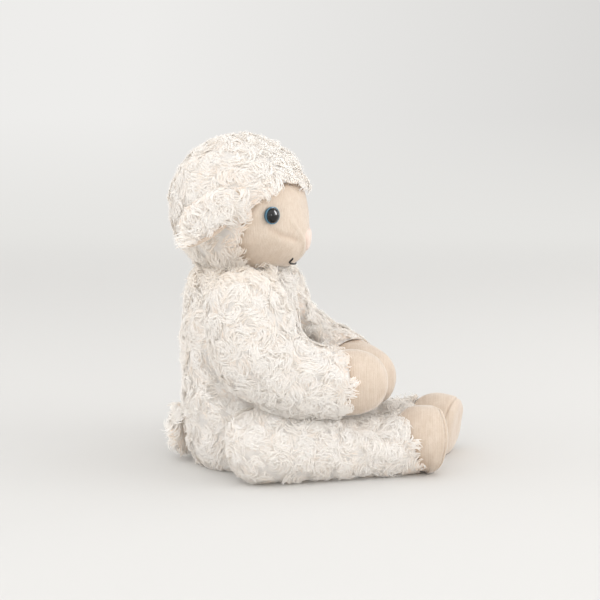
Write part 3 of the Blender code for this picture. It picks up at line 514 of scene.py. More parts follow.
    # Channel one: the share along the strand, for painted shade towards the root
    tone[..., 0] = np.concatenate((np.repeat(share[:-1], 3), (1.0,)))
    # Channel two: a random warm tone for each lock, plus painted warm shade where the shade function
    # asks
    warmth_and_painted_shade = 0.22 * chance.random(locks) + (0.0 if shade is None else shade(root, normal))
    tone[..., 1] = np.clip(warmth_and_painted_shade[pick] + chance.uniform(-0.1, 0.1, strands), 0.0, 1.0)[:, None]
    # Channel three: strands that stand low or lie between whorls are marked for painted shade
    white = (0.80 + 1.5 * (standing - 0.90) + 0.6 * (crown[pick] - 0.85)
             + chance.normal(0.0, 0.12, strands))
    tone[..., 2] = np.clip(white, 0.0, 1.0)[:, None]
    tone[..., 3] = 1.0
    return points.reshape(-1, 3), quads, triangles, tone.reshape(-1, 4)


def undercoat(surface, thickness, fence=None, edge=None):
    """A grid of rings swelled by the short dense fibres that fill the pile from below."""
    normals = outward_normals(surface)
    flat, ways = surface.reshape(-1, 3), normals.reshape(-1, 3)
    share = np.clip((thickness(flat, ways) - 0.3) / 0.7, 0.0, 1.0)
    if edge is not None:
        share = share * (1.0 - edge(flat, ways))
    swelled = (flat + ways * (UNDERCOAT * share)[:, None]).reshape(surface.shape)
    return swelled if fence is None else fence(swelled)


def fleece_piece(name, surface, pile):
    """One object from a closed backing of rings and the pile that grows on it."""
    skin, skin_quads, skin_fans = skin_mesh(surface)
    points, quads, triangles, tone = pile
    bare = np.tile((0.6, 0.2, 0.8, 1.0), (len(skin), 1))
    shift = len(skin)
    made = put_mesh(name, np.concatenate((skin, points)),
                    [skin_quads, skin_fans, quads + shift, triangles + shift])
    colours = made.data.color_attributes.new("pile", 'FLOAT_COLOR', 'POINT')
    colours.data.foreach_set("color", np.concatenate((bare, tone)).astype(np.float32).ravel())
    smooth = np.zeros(len(made.data.polygons), bool)
    smooth[:len(skin_quads) + len(skin_fans)] = True
    made.data.polygons.foreach_set("use_smooth", smooth)
    return made


def dress_fleece(piece, body, node):
    """The fleece's material, the body that it rides on and the CAD piece it stands for."""
    piece.data.materials.append(fleece)
    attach(piece, body)
    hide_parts(node)


# Polyester fleece, knitted and brushed into curls: fibres bright and matt at their tips, with
# painted shade that makes them warmer and darker towards the backing and on the lower strands
fleece = bpy.data.materials.new("curled_polyester_fleece")
fleece.use_nodes = True
tree = fleece.node_tree
shader = tree.nodes["Principled BSDF"]
pile_tone = add_node(tree, "ShaderNodeAttribute", {"attribute_name": "pile"})
tone_parts = add_node(tree, "ShaderNodeSeparateColor", links={"Color": pile_tone.outputs["Color"]})
# Painted shade: the roots are warmer and darker than the tips
depth = add_node(tree, "ShaderNodeMapRange", values={"From Min": 0.0, "From Max": 0.50},
                 links={"Value": tone_parts.outputs["Red"]})
crowned = add_node(tree, "ShaderNodeMapRange", values={"From Min": 0.10, "From Max": 0.70},
                   links={"Value": tone_parts.outputs["Blue"]})
# Painted shade: low strands and the creases between whorls take the warmer colour
painted_crease_shade = add_node(tree, "ShaderNodeMix", {"data_type": 'RGBA'},
                   {6: linear("#FCF3EA"), 7: linear("#FFFEFD")},
                   {0: crowned.outputs[0]})
fibre_colour = add_node(tree, "ShaderNodeMix", {"data_type": 'RGBA'},
                        {6: linear("#FEFBF8")},
                        {0: depth.outputs[0], 7: painted_crease_shade.outputs[2]})
# A random warm tone for each lock, plus painted warm shade where the pile is shaded
lock_tint_and_painted_shade = add_node(tree, "ShaderNodeMix", {"data_type": 'RGBA'},
                     {6: linear("#FFFFFF"), 7: linear("#FFFCF8")},
                     {0: tone_parts.outputs["Green"]})
tinted = add_node(tree, "ShaderNodeMix", {"data_type": 'RGBA', "blend_type": 'MULTIPLY'},
                  {0: 1.0}, {6: fibre_colour.outputs[2], 7: lock_tint_and_painted_shade.outputs[2]})
tree.links.new(tinted.outputs[2], shader.inputs["Base Color"])
shader.inputs["Roughness"].default_value = 0.72
shader.inputs["Specular IOR Level"].default_value = 0.25
shader.inputs["Sheen Weight"].default_value = 0.25
shader.inputs["Sheen Roughness"].default_value = 0.45
# Light passes through the fine fibres, so a lock never shades its neighbours fully
warmed = add_node(tree, "ShaderNodeMix", {"data_type": 'RGBA', "blend_type": 'MULTIPLY'},
                  {0: 1.0, 7: linear("#FFFEFC")}, {6: tinted.outputs[2]})
through = add_node(tree, "ShaderNodeBsdfTranslucent", links={"Color": warmed.outputs[2]})
blended = add_node(tree, "ShaderNodeMixShader", values={0: 0.58},
                   links={1: shader.outputs[0], 2: through.outputs[0]})
tree.links.new(blended.outputs[0], tree.nodes["Material Output"].inputs["Surface"])

TORSO_HEIGHT = 0.1142
TORSO_DEPTH = 0.068
TORSO_WIDTH = 0.084
TORSO_END_SHARE = 0.06
FLANK = 0.035
FLANK_RADIUS = 0.056
SHOULDER_X = 0.004
SHOULDER_HEIGHT = 0.099
# Height, centre, half-depth and half-width, as shares of the torso's own size
TORSO_SHARES = (
    (-0.05, -0.01, 0.20, 0.20), (0.00, -0.01, 0.34, 0.36), (0.10, -0.02, 0.455, 0.47),
    (0.27, -0.02, 0.485, 0.50), (0.47, -0.02, 0.495, 0.495), (0.66, -0.03, 0.50, 0.465),
    (0.84, -0.025, 0.455, 0.42), (0.96, -0.02, 0.39, 0.35), (1.05, -0.02, 0.20, 0.20))
torso_rows = [(centre * TORSO_DEPTH, 0.0, high * TORSO_HEIGHT, deep * TORSO_DEPTH,
               wide * TORSO_WIDTH) for high, centre, deep, wide in TORSO_SHARES]


def torso_surface(rings, sides, inset):
    """The torso's rings from its base up, flat on the floor, at the neck and at the arms."""
    station = (1.0 - np.cos(np.linspace(0.0, math.pi, rings))) / 2
    turn = np.arange(sides) * math.tau / sides
    ends = round_end(station, TORSO_END_SHARE) * round_end(1.0 - station, TORSO_END_SHARE)
    spots = tube(torso_rows, station, turn, inset, ends)
    away = np.hypot(spots[..., 0] - SHOULDER_X, spots[..., 2] - SHOULDER_HEIGHT)
    limit = FLANK + np.maximum(away - FLANK_RADIUS, 0.0) - inset
    spots[..., 1] = np.clip(spots[..., 1], -limit, limit)
    spots[..., 2] = np.clip(spots[..., 2], inset * 0.3, TORSO_HEIGHT - inset)
    return spots


def above_floor(path):
    """Points lifted to just above the floor."""
    path = path.copy()
    path[..., 2] = np.maximum(path[..., 2], 0.0005)
    return path


def torso_thickness(place, normal):
    """Full pile, tall in a collar round the neck, but flat under the arms and on the seat."""
    away = np.hypot(place[:, 0] - SHOULDER_X, place[:, 2] - SHOULDER_HEIGHT)
    flank = np.clip((0.050 - away) / 0.01, 0.0, 1.0) * (np.abs(normal[:, 1]) > 0.8)
    seat = np.clip((0.006 - place[:, 2]) / 0.006, 0.0, 1.0)
    round_neck = np.hypot(place[:, 0] + 0.002, place[:, 1])
    collar = np.exp(-((round_neck - 0.0235) / 0.0060) ** 2) * (place[:, 2] > 0.095)
    inside = np.clip((0.018 - round_neck) / 0.004, 0.0, 1.0) * (place[:, 2] > 0.10)
    full = 1.0 - 0.72 * flank - 0.7 * seat - 0.85 * inside
    return np.clip(full, 0.15, 1.0) + (1.9 + 0.9 * (place[:, 0] > 0.0)) * collar


def hidden_share(place, normal):
    """Where a fleece is pressed on the floor or another piece it needs fewer strands."""
    seat = (place[..., 2] < 0.004) & (normal[..., 2] < -0.3)
    away = np.hypot(place[..., 0] - SHOULDER_X, place[..., 2] - SHOULDER_HEIGHT)
    flank = (away < 0.042) & (np.abs(normal[..., 1]) > 0.8)
    neck = (place[..., 2] > TORSO_HEIGHT - 0.001) & (np.hypot(place[..., 0], place[..., 1])
                                                     < 0.020)
    return np.where(seat | flank | neck, 0.35, 1.0)


def hang(place, normal):
    """A light comb downwards, as the pile of an upright piece settles."""
    return np.broadcast_to(np.array((0.0, 0.0, -0.30)), place.shape)


def torso_shade(place, normal):
    """Painted warm shade under the chin and behind the arm."""
    return 0.4 * np.clip((place[:, 2] - 0.096) / 0.012, 0.0, 1.0) * (place[:, 0] < 0.018)


torso_skin = torso_surface(80, 112, BACKING_INSET)
torso = fleece_piece(
    "torso_curls", undercoat(torso_skin, torso_thickness, above_floor),
    grow_pile(torso_skin, 11, torso_thickness, hang, hidden_share, above_floor,
              shade=torso_shade))
dress_fleece(torso, "torso", "torso_fleece")


# The sleeves of the arms: tubes of the same fleece, sewn flat on the torso's sides at the
# shoulders and open at the cuff, where their pile falls over the velour paw.

SHOULDER_HALF_SPAN = 0.035
ARM_REACH = 0.080
ARM_RADIUS = 0.0240
ARM_OUTSET = 0.0150
ARM_DROP = 0.045
LEFT_PAW_INSET = 0.018
LEFT_PAW_DROP = 0.0055
LEFT_PAW_LONGER = 0.004
LEFT_PAW_SHIFT_SHARE = 0.78
FOREARM_FREE_X = 0.038
ARM_CUFF_SHARE = 0.75
ARM_END_SHARE = 0.15
SEAM_GAP = 0.0003
RIGHT, LEFT = -1, 1
SIDE_NAMES = {RIGHT: "right", LEFT: "left"}
# Forward, outward and downward as shares of reach, outset and drop, then the radius share
ARM_SHARES = (
    (0.03, 0.70, -0.40, 0.82), (0.04, 0.88, -0.13, 0.88), (0.07, 1.06, 0.24, 0.97),
    (0.16, 1.18, 0.61, 1.01), (0.38, 1.12, 0.87, 0.86), (0.57, 0.72, 0.955, 0.78),
    (0.78, 0.05, 0.99, 0.775), (1.00, -0.50, 1.00, 0.75))


def arm_rows(side):
    """The arm's course: the left one lies further inward, lower and a little longer."""
    rows = []
    for forward, outward, down, radius in ARM_SHARES:
        shifted = min(forward / LEFT_PAW_SHIFT_SHARE, 1.0) if side == LEFT else 0.0
        spread = (SHOULDER_HALF_SPAN + outward * ARM_OUTSET
                  - LEFT_PAW_INSET * shifted ** 1.5)
        rows.append((SHOULDER_X + forward * ARM_REACH + shifted * LEFT_PAW_LONGER,
                     side * spread,
                     SHOULDER_HEIGHT - down * ARM_DROP - LEFT_PAW_DROP * shifted ** 8,
                     radius * ARM_RADIUS, radius * ARM_RADIUS))
    return rows


def course_length(rows):
    """The length of a course's straight steps."""
    return float(np.linalg.norm(np.diff(np.array(rows)[:, :3], axis=0), axis=1).sum())


def arm_surface(side, share, sides, inset):
    """Rings of the arm, flat against the torso's side round the shoulder."""
    rows = arm_rows(side)
    margin = inset / course_length(rows)
    turn = np.arange(sides) * math.tau / sides
    ends = round_end(share, ARM_END_SHARE) * round_end(1.0 - share, ARM_END_SHARE)
    spots = tube(rows, margin + share * (1.0 - 2 * margin), turn, inset, ends)
    away = np.hypot(spots[..., 0] - SHOULDER_X, spots[..., 2] - SHOULDER_HEIGHT)
    free = np.maximum(away - FLANK_RADIUS - inset, 0.0)
    ahead = np.maximum(spots[..., 0] - FOREARM_FREE_X - inset, 0.0)
    limit = SHOULDER_HALF_SPAN + SEAM_GAP + inset - free - 2 * ahead
    spots[..., 1] = side * np.maximum(side * spots[..., 1], limit)
    return spots


def course_spot(rows, share):
    """The place and heading of a course at a share of its length."""
    place = read_course(rows, np.array((share,)))[0, :3]
    way = (read_course(rows, np.array((share + 0.01,)))[0, :3]
           - read_course(rows, np.array((share - 0.01,)))[0, :3])
    return place, way / np.linalg.norm(way)


def sleeve_comb(rows, cuff_share, sag):
    """Pile that turns towards the cuff and hangs a little, and how near the cuff it is."""
    place, way = course_spot(rows, cuff_share)

    def comb(spots, normal):
        before = np.maximum(-(spots - place) @ way, 0.0)
        return (way * (0.15 + 0.25 * np.exp(-before / 0.006))[:, None]
                + np.array((0.0, 0.0, -sag)))

    def edge(spots, normal):
        return np.exp(-np.maximum(-(spots - place) @ way, 0.0) / 0.004)
    return comb, edge


def walled(outer, inner):
    """A fabric with a wall: its outer rings, then its inner ones from the open edge back."""
    return np.concatenate((outer, inner[::-1]))


for side in (RIGHT, LEFT):
    rows = arm_rows(side)
    share = np.linspace(0.0, 1.0, 64) ** 1.25 * (ARM_CUFF_SHARE - 0.002)
    outer = arm_surface(side, share, 88, BACKING_INSET)
    inner = arm_surface(side, np.append(share[:-1:6], share[-1]), 88, BACKING_INSET + FABRIC_WALL)

    def on_torso(place, normal, side=side):
        """Where the sleeve lies on the torso."""
        away = np.hypot(place[..., 0] - SHOULDER_X, place[..., 2] - SHOULDER_HEIGHT)
        return (normal[..., 1] * side < -0.75) & (place[..., 0] < 0.040) & (away < 0.056)

    def arm_thickness(place, normal, on_torso=on_torso):
        """Full pile, but low where the sleeve lies on the torso."""
        below = np.clip(-normal[:, 2], 0.0, 1.0) * (place[:, 0] > 0.01)
        return np.where(on_torso(place, normal), 0.2, 1.0 + 0.8 * below)

    comb, edge = sleeve_comb(rows, ARM_CUFF_SHARE, 0.15)
    sleeve = fleece_piece(
        SIDE_NAMES[side] + "_arm_curls", walled(undercoat(outer, arm_thickness, edge=edge), inner),
        grow_pile(outer, 31 + side, arm_thickness, comb,
                  lambda place, normal, on_torso=on_torso, edge=edge: np.where(
                      on_torso(place, normal), 0.45, 1.0) + 1.1 * edge(place, normal),
                  edge=edge,
                  # Painted warm shade high on the sleeve, near the neck
                  shade=lambda place, normal: 0.5 * np.clip((place[:, 2] - 0.106) / 0.010,
                                                            0.0, 1.0)))
    dress_fleece(sleeve, SIDE_NAMES[side] + "_arm", SIDE_NAMES[side] + "_arm_fleece")


# The sleeves of the legs: wider tubes that lie on the floor, hollowed where they are sewn to
# the torso, and open at the cuff, where their pile falls over the velour foot.

HIP_X = -0.002
LEG_LENGTH = 0.118
LEFT_LEG_LONGER = 0.0105
LEG_RADIUS = 0.0205
LEG_SAG = 0.0005
LEFT_FOOT_SAG = 0.0035
LEG_ROOT_SPREAD = 0.0535
FOOT_SPREAD = {RIGHT: 0.018, LEFT: 0.024}
LEG_CUFF_SHARE = 0.825
LEG_ROOT_END_SHARE = 0.14
LEG_FOOT_END_SHARE = 0.10
SOLE_BLUNTNESS = 3.4
FOLD_GAP = 0.001
# Forward share of the length, share of the way inward, and the radius share
LEG_SHARES = (
    (0.00, 0.00, 0.96), (0.09, 0.02, 1.00), (0.24, 0.13, 0.985), (0.42, 0.33, 0.87),
    (0.61, 0.55, 0.73), (0.79, 0.74, 0.765), (0.90, 0.87, 0.955), (1.00, 1.00, 0.93))


def leg_rows(side):
    """The leg's course: the left one is longer and its foot lies lower."""
    length = LEG_LENGTH + (LEFT_LEG_LONGER if side == LEFT else 0.0)
    rows = []
    for forward, inward, radius in LEG_SHARES:
        spread = LEG_ROOT_SPREAD + inward * (FOOT_SPREAD[side] - LEG_ROOT_SPREAD)
        sag = LEG_SAG + (LEFT_FOOT_SAG * forward ** 5 if side == LEFT else 0.0)
        rows.append((HIP_X + forward * length, side * spread, radius * LEG_RADIUS - sag,
                     radius * LEG_RADIUS, radius * LEG_RADIUS))
    return rows


def leg_surface(side, share, sides, inset):
    """Rings of the leg, flat on the floor and hollowed where the torso is."""
    rows = leg_rows(side)
    margin = inset / course_length(rows)
    turn = np.arange(sides) * math.tau / sides
    ends = round_end(share, LEG_ROOT_END_SHARE)
    ends = ends * round_end(1.0 - share, LEG_FOOT_END_SHARE, SOLE_BLUNTNESS)
    spots = tube(rows, margin + share * (1.0 - 2 * margin), turn, inset, ends)
    flat = spots.reshape(-1, 3)
    torso_array = np.array(torso_rows)
    row = read_course(torso_rows, (flat[:, 2] - torso_array[0, 2]) / np.ptp(torso_array[:, 2]))
    clear = FOLD_GAP + inset
    ahead = np.clip((flat[:, 0] - row[:, 0]) / (row[:, 3] + clear), -1.0, 1.0)
    beside = ((row[:, 4] + clear) * np.sqrt(1.0 - ahead ** 2)).reshape(spots.shape[:2])
    spots[..., 1] = side * np.maximum(side * spots[..., 1], beside)
    spots[..., 2] = np.maximum(spots[..., 2], 0.3 * inset)
    return spots


for side in (RIGHT, LEFT):
    rows = leg_rows(side)
    share = np.linspace(0.0, 1.0, 68) ** 1.25 * (LEG_CUFF_SHARE - 0.002)
    outer = leg_surface(side, share, 84, BACKING_INSET)
    inner = leg_surface(side, np.append(share[:-1:6], share[-1]), 84, BACKING_INSET + FABRIC_WALL)

    def leg_thickness(place, normal, side=side):
        """Full pile, but pressed flat under the leg and low against the torso."""
        under = np.clip((0.005 - place[:, 2]) / 0.004, 0.0, 1.0)
        pressed = (normal[:, 1] * side < -0.6) & (place[:, 0] < 0.034)
        cuff = np.clip((place[:, 0] - 0.060) / 0.020, 0.0, 1.0) * np.clip(normal[:, 2], 0.0, 1.0)
        return ((np.clip(1.0 - 0.65 * under, 0.2, 1.0) + 1.4 * cuff)
                * np.where(pressed, 0.3, 1.0))

    comb, edge = sleeve_comb(rows, LEG_CUFF_SHARE, 0.1)
    sleeve = fleece_piece(
        SIDE_NAMES[side] + "_leg_curls",
        walled(undercoat(outer, leg_thickness, above_floor, edge), inner),
        grow_pile(outer, 41 + side, leg_thickness, comb,
                  lambda place, normal, edge=edge: np.where(
                      (normal[..., 2] < -0.6) & (place[..., 2] < 0.004), 0.35, 1.0)
                  + 1.1 * edge(place, normal),
                  above_floor, edge))
    dress_fleece(sleeve, SIDE_NAMES[side] + "_leg", SIDE_NAMES[side] + "_leg_fleece")


# The hood: the back and top of the head in the same fleece, sewn round the velour face. Its
# pile is combed over the seam, and stands in a thick fringe over the brow.

HEAD_CENTRE = np.array((-0.002, 0.0, 0.152))
HOOD_RADIUS = 0.0402
FACE_RADIUS = 0.0383
MUZZLE_RISE = 0.0088
MUZZLE_DROP = math.radians(39)
MUZZLE_HALF_WIDTH_SHARE = 0.50
MUZZLE_HALF_HEIGHT_SHARE = 0.33
JAW_HEIGHT = 0.1169
NECK_PLANE = 0.1145
FACE_TILT = math.radians(29)
FACE_REACH_UP = math.radians(45)
FACE_REACH_SIDE = math.radians(76)
FACE_SIDE_SHARPNESS = 1.5


def head_spots(directions, base, lowest):
    """Points of the head in each direction: a ball with the muzzle's rise, flat below."""
    ahead = np.array((math.cos(MUZZLE_DROP), 0.0, -math.sin(MUZZLE_DROP)))
    upward = np.array((math.sin(MUZZLE_DROP), 0.0, math.cos(MUZZLE_DROP)))
    across = directions[..., 1] / MUZZLE_HALF_WIDTH_SHARE
    above = (directions @ upward) / MUZZLE_HALF_HEIGHT_SHARE
    front = np.clip(directions @ ahead, 0.0, 1.0)
    radius = base + MUZZLE_RISE * front * np.exp(-(across ** 2 + above ** 2) / 2)
    spots = HEAD_CENTRE + directions * radius[..., None]
    spots[..., 2] = np.maximum(spots[..., 2], lowest)
    return spots


def face_edge(turn):
    """The angle from the face's middle to its seam: short up and down, wide at the sides."""
    return FACE_REACH_UP + ((FACE_REACH_SIDE - FACE_REACH_UP)
                            * np.abs(np.cos(turn)) ** FACE_SIDE_SHARPNESS)


def around_face(turn, angle, tilt=FACE_TILT, height_share=1.0):
    """Directions at an angle from the face's middle, turned round it."""
    forward = np.array((math.cos(tilt), 0.0, -math.sin(tilt)))
    upward = np.array((math.sin(tilt), 0.0, math.cos(tilt)))
    left = np.array((0.0, 1.0, 0.0))
    ring = (np.cos(turn)[..., None] * left
            + height_share * np.sin(turn)[..., None] * upward)
    ways = np.cos(angle)[..., None] * forward + np.sin(angle)[..., None] * ring
    return ways / np.linalg.norm(ways, axis=-1)[..., None]


def hood_surface(rings, sides, inset):
    """The hood's rings from the back of the head to the face's seam."""
    turn = (-np.arange(sides) * math.tau / sides)[None, :]
    edge = face_edge(turn) + FOLD_GAP / HOOD_RADIUS
    share = np.linspace(0.0, 1.0, rings)[:, None]
    angle = math.pi - share * (math.pi - edge)
    turn = np.broadcast_to(turn, angle.shape)
    return head_spots(around_face(turn, angle), HOOD_RADIUS - inset, NECK_PLANE + 0.3 * inset)


def face_angles(place):
    """How far a place lies round from the face's middle, and the seam's angle there."""
    way = place - HEAD_CENTRE
    way = way / np.linalg.norm(way, axis=-1)[..., None]
    forward = np.array((math.cos(FACE_TILT), 0.0, -math.sin(FACE_TILT)))
    upward = np.array((math.sin(FACE_TILT), 0.0, math.cos(FACE_TILT)))
    angle = np.arccos(np.clip(way @ forward, -1.0, 1.0))
    turn = np.arctan2(way @ upward, way[..., 1])
    return angle, turn, face_edge(turn)


def hood_comb(place, normal):
    """Pile that falls back and down, but forward over the seam near the face."""
    angle, turn, edge = face_angles(place)
    forward = np.array((math.cos(FACE_TILT), 0.0, -math.sin(FACE_TILT)))
    beyond = np.maximum(angle - edge, 0.0) * HOOD_RADIUS
    near = np.exp(-beyond / 0.007)
    rise = np.sin(turn)
    down = np.array((0.0, 0.0, -0.9)) * np.clip(rise - 0.5, 0.0, 1.0)[:, None]
    temple = 1.0 - 0.55 * np.exp(-((rise - 0.45) / 0.30) ** 2)
    return ((forward * temple[:, None] + down) * near[:, None]
            + np.array((-0.12, 0.0, -0.22)) * (1.0 - near)[:, None])


def hood_thickness(place, normal):
    """Thick in the fringe over the brow, low beside the face and flat on the neck."""
    angle, turn, edge = face_angles(place)
    beyond = np.maximum(angle - edge, 0.0) * HOOD_RADIUS
    fringe = np.clip(np.sin(turn) - 0.35, 0.0, 1.0) * np.exp(-beyond / 0.014)
    beside = np.clip(0.75 - np.sin(turn), 0.0, 1.0) * np.exp(-beyond / 0.006)
    round_neck = np.hypot(place[:, 0] + 0.002, place[:, 1])
    collar = np.exp(-((round_neck - 0.0270) / 0.0055) ** 2) * (place[:, 2] < 0.130)
    neck = np.clip((0.020 - round_neck) / 0.004, 0.0, 1.0) * (place[:, 2] < 0.120)
    ear = (np.abs(place[:, 1]) > 0.030) & (np.abs(place[:, 0] + 0.006) < 0.012)
    return ((1.0 + 1.3 * fringe + 0.8 * collar - 0.25 * beside - 0.8 * neck)
            * np.where(ear, 0.7, 1.0))


def hood_edge(place, normal):
    """How near a place is to the seam with the face."""
    angle, turn, edge = face_angles(place)
    return np.exp(-np.maximum(angle - edge, 0.0) * HOOD_RADIUS / 0.004)


def on_the_face(path):
    """Points that pass the seam, brought down in a round roll until they lie on the face."""
    way = path - HEAD_CENTRE
    far = np.linalg.norm(way, axis=-1)
    angle, turn, edge = face_angles(path)
    over = np.maximum(edge - angle, 0.0) * HOOD_RADIUS
    ground = np.linalg.norm(head_spots(way / far[..., None], FACE_RADIUS, JAW_HEIGHT)
                            - HEAD_CENTRE, axis=-1)
    roll = 0.0046 * np.clip(1.0 - (over / 0.0052) ** 2, 0.0, 1.0)
    kept = np.where(over > 0.0, np.clip(far, ground + 0.0003, ground + 0.0006 + roll), far)
    return HEAD_CENTRE + way * (kept / far)[..., None]


def hood_shade(place, normal):
    """Painted warm shade on the cheek below the ear, and down to the neck."""
    return 0.3 * (np.clip((0.141 - place[:, 2]) / 0.016, 0.0, 1.0)
                  * np.clip((place[:, 0] + 0.040) / 0.015, 0.0, 1.0))


hood_outer = hood_surface(74, 120, BACKING_INSET)
hood_inner = hood_surface(14, 120, BACKING_INSET + FABRIC_WALL)
hood = fleece_piece(
    "head_curls", walled(undercoat(hood_outer, hood_thickness, edge=hood_edge), hood_inner),
    grow_pile(hood_outer, 21, hood_thickness, hood_comb,
              lambda place, normal: np.where(normal[..., 2] < -0.9, 0.4, 1.0)
              + 0.9 * hood_edge(place, normal), on_the_face, hood_edge, hood_shade))
dress_fleece(hood, "head", "head_fleece")


# The ears: hanging leaves of fleece, sewn flat on the sides of the head and lined with
# velour. The lining's lower front edge is turned out, so that it shows as a thin roll.

EAR_LENGTH = 0.040
EAR_WIDTH = 0.021
EAR_BOW = 0.0055
EAR_FLEECE_THICKNESS = 0.0040
EAR_LINING_THICKNESS = 0.0016
EAR_ROOT = (0.0045, 0.0409, 0.1575)
EAR_DROP_ANGLE = math.radians(40)
EAR_OUTWARD_SHARE = 0.13
EAR_ROOT_END_SHARE = 0.12
EAR_TIP_END_SHARE = 0.38
EAR_WIDTH_SHARES = (0.80, 0.93, 1.0, 0.98, 0.82, 0.52)
EAR_ROLL = 0.0013


def ear_surface(side, rings, sides, inset, thickness, inner):
    """Rings of one layer of the ear, on one side of the leaf's middle."""
    rows = []
    for index, width in enumerate(EAR_WIDTH_SHARES):
        share = index / (len(EAR_WIDTH_SHARES) - 1)
        along, bow = EAR_LENGTH * share, EAR_BOW * math.sin(math.pi * share)
        rows.append((EAR_ROOT[0] - along * math.cos(EAR_DROP_ANGLE)
                     - bow * math.sin(EAR_DROP_ANGLE),
                     side * (EAR_ROOT[1] + along * EAR_OUTWARD_SHARE),
                     EAR_ROOT[2] - along * math.sin(EAR_DROP_ANGLE)
                     + bow * math.cos(EAR_DROP_ANGLE),
                     width * EAR_WIDTH / 2, width * thickness))
    share = (1.0 - np.cos(np.linspace(0.0, math.pi, rings))) / 2
    margin = inset / course_length(rows)
    station = margin + share * (1.0 - 2 * margin)
    turn = np.arange(sides) * math.tau / sides
    ends = round_end(share, EAR_ROOT_END_SHARE) * round_end(1.0 - share, EAR_TIP_END_SHARE)
    spots = tube(rows, station, turn, inset, ends)
    centre = read_course(rows, station)[:, None, 1]
    outward = side * (spots[..., 1] - centre)
    half = SEAM_GAP / 2
    outward = np.minimum(outward, -half) if inner else np.maximum(outward, half)
    spots[..., 1] = centre + side * outward
    return spots, turn, ends


for side in (RIGHT, LEFT):
    body = SIDE_NAMES[side] + "_ear"
    leaf, turn, ends = ear_surface(side, 44, 56, 0.0012, EAR_FLEECE_THICKNESS, False)
    tip_way = np.array((-math.cos(EAR_DROP_ANGLE), 0.0, -math.sin(EAR_DROP_ANGLE)))
    lower_way = np.array((math.sin(EAR_DROP_ANGLE), 0.0, -math.cos(EAR_DROP_ANGLE)))

    def ear_share(place, tip_way=tip_way, side=side):
        """How far along the ear a place lies, from 0 at the root to 1 at the tip."""
        root = np.array((EAR_ROOT[0], side * EAR_ROOT[1], EAR_ROOT[2]))
        return (place - root) @ tip_way / EAR_LENGTH

    def ear_comb(place, normal, tip_way=tip_way, ear_share=ear_share):
        """Pile that lies towards the tip, but forward over the seam at the root."""
        return tip_way * np.interp(ear_share(place), (0.02, 0.14), (-0.9, 0.55))[:, None]

    def ear_thickness(place, normal, side=side, lower_way=lower_way, ear_share=ear_share):
        """Full outside, flat inside and low where the lining's roll shows."""
        edge = np.clip((normal @ lower_way - 0.35) / 0.5, 0.0, 1.0)
        edge = edge * np.clip((ear_share(place) - 0.25) / 0.15, 0.0, 1.0)
        return np.where(normal[:, 1] * side < -0.5, 0.15, 1.0) * (1.0 - 0.5 * edge)

    ear = fleece_piece(body + "_curls", leaf, grow_pile(
        leaf, 51 + side, ear_thickness, ear_comb,
        lambda place, normal, side=side: np.where(normal[..., 1] * side < -0.5, 0.1, 1.15)))
    dress_fleece(ear, body, body + "_fleece")


# The tail: a short unstuffed flap of fleece that hangs from the back of the seat.

TAIL_LENGTH = 0.027
TAIL_THICKNESS = 0.0105
TAIL_WIDTH = 0.022
TAIL_ROOT = (-0.0369, 0.0, 0.0325)
TAIL_ROOT_END_SHARE = 0.30
TAIL_TIP_END_SHARE = 0.35
# Forward and downward as shares of the length, then thickness and width as shares of theirs
TAIL_SHARES = ((0.00, 0.00, 0.425, 0.36), (-0.10, 0.35, 0.50, 0.475),
               (-0.08, 0.70, 0.50, 0.50), (0.06, 1.00, 0.45, 0.45))

tail_rows = [(TAIL_ROOT[0] + forward * TAIL_LENGTH, 0.0, TAIL_ROOT[2] - down * TAIL_LENGTH,
              deep * TAIL_THICKNESS, wide * TAIL_WIDTH) for forward, down, deep, wide in TAIL_SHARES]
share = (1.0 - np.cos(np.linspace(0.0, math.pi, 36))) / 2
ends = round_end(share, TAIL_ROOT_END_SHARE) * round_end(1.0 - share, TAIL_TIP_END_SHARE)
tail_skin = tube(tail_rows, 0.05 + 0.90 * share, np.arange(48) * math.tau / 48, 0.0014, ends)


def tail_comb(place, normal):
    """Pile that hangs and stands off backwards."""
    return np.broadcast_to(np.array((-0.20, 0.0, -0.25)), place.shape)


def tail_thickness(place, normal):
    """Full outside, and low where the flap lies on the torso."""
    return np.where(normal[:, 0] > 0.6, 0.3, 1.25)


tail = fleece_piece(
    "tail_curls", undercoat(tail_skin, tail_thickness, above_floor),
    grow_pile(tail_skin, 61, tail_thickness, tail_comb,
              lambda place, normal: np.full(place.shape[:-1], 1.7), above_floor))
dress_fleece(tail, "tail", "tail_fleece")


# The face: one piece of beige velour, a rib-knit with a short brushed nap, drawn in at its
# seam with the hood, dimpled where the eyes' washers pull on it, and creased to the nose.

FACE_SEAM_DEPTH = 0.0012
FACE_ALLOWANCE = 0.0030
# Degrees from straight ahead to the eye, sideways and down
EYE_TURN = 55.5
EYE_DROP = 5.5
EYE_DIMPLE = 0.0013
EYE_DIMPLE_REACH = 0.0066
RIB_PITCH = 0.0010


def off_line(places, line):
    """The distance of each place from a line of points."""
    line = np.asarray(line)
    nearest = np.full(places.shape[:-1], np.inf)
    for start, end in zip(line[:-1], line[1:]):
        along = end - start
        part = np.clip(((places - start) @ along) / (along @ along), 0.0, 1.0)
        gap = np.linalg.norm(places - start - part[..., None] * along, axis=-1)
        nearest = np.minimum(nearest, gap)
    return nearest


def head_point(turn, drop, side=1, base=FACE_RADIUS):
    """A point of the face, by its turn to one side and its drop from level, in degrees."""
    turn, drop = math.radians(turn), math.radians(drop)
    way = np.array((math.cos(turn) * math.cos(drop), side * math.sin(turn) * math.cos(drop),
                    -math.sin(drop)))
    return head_spots(way[None], base, JAW_HEIGHT)[0]


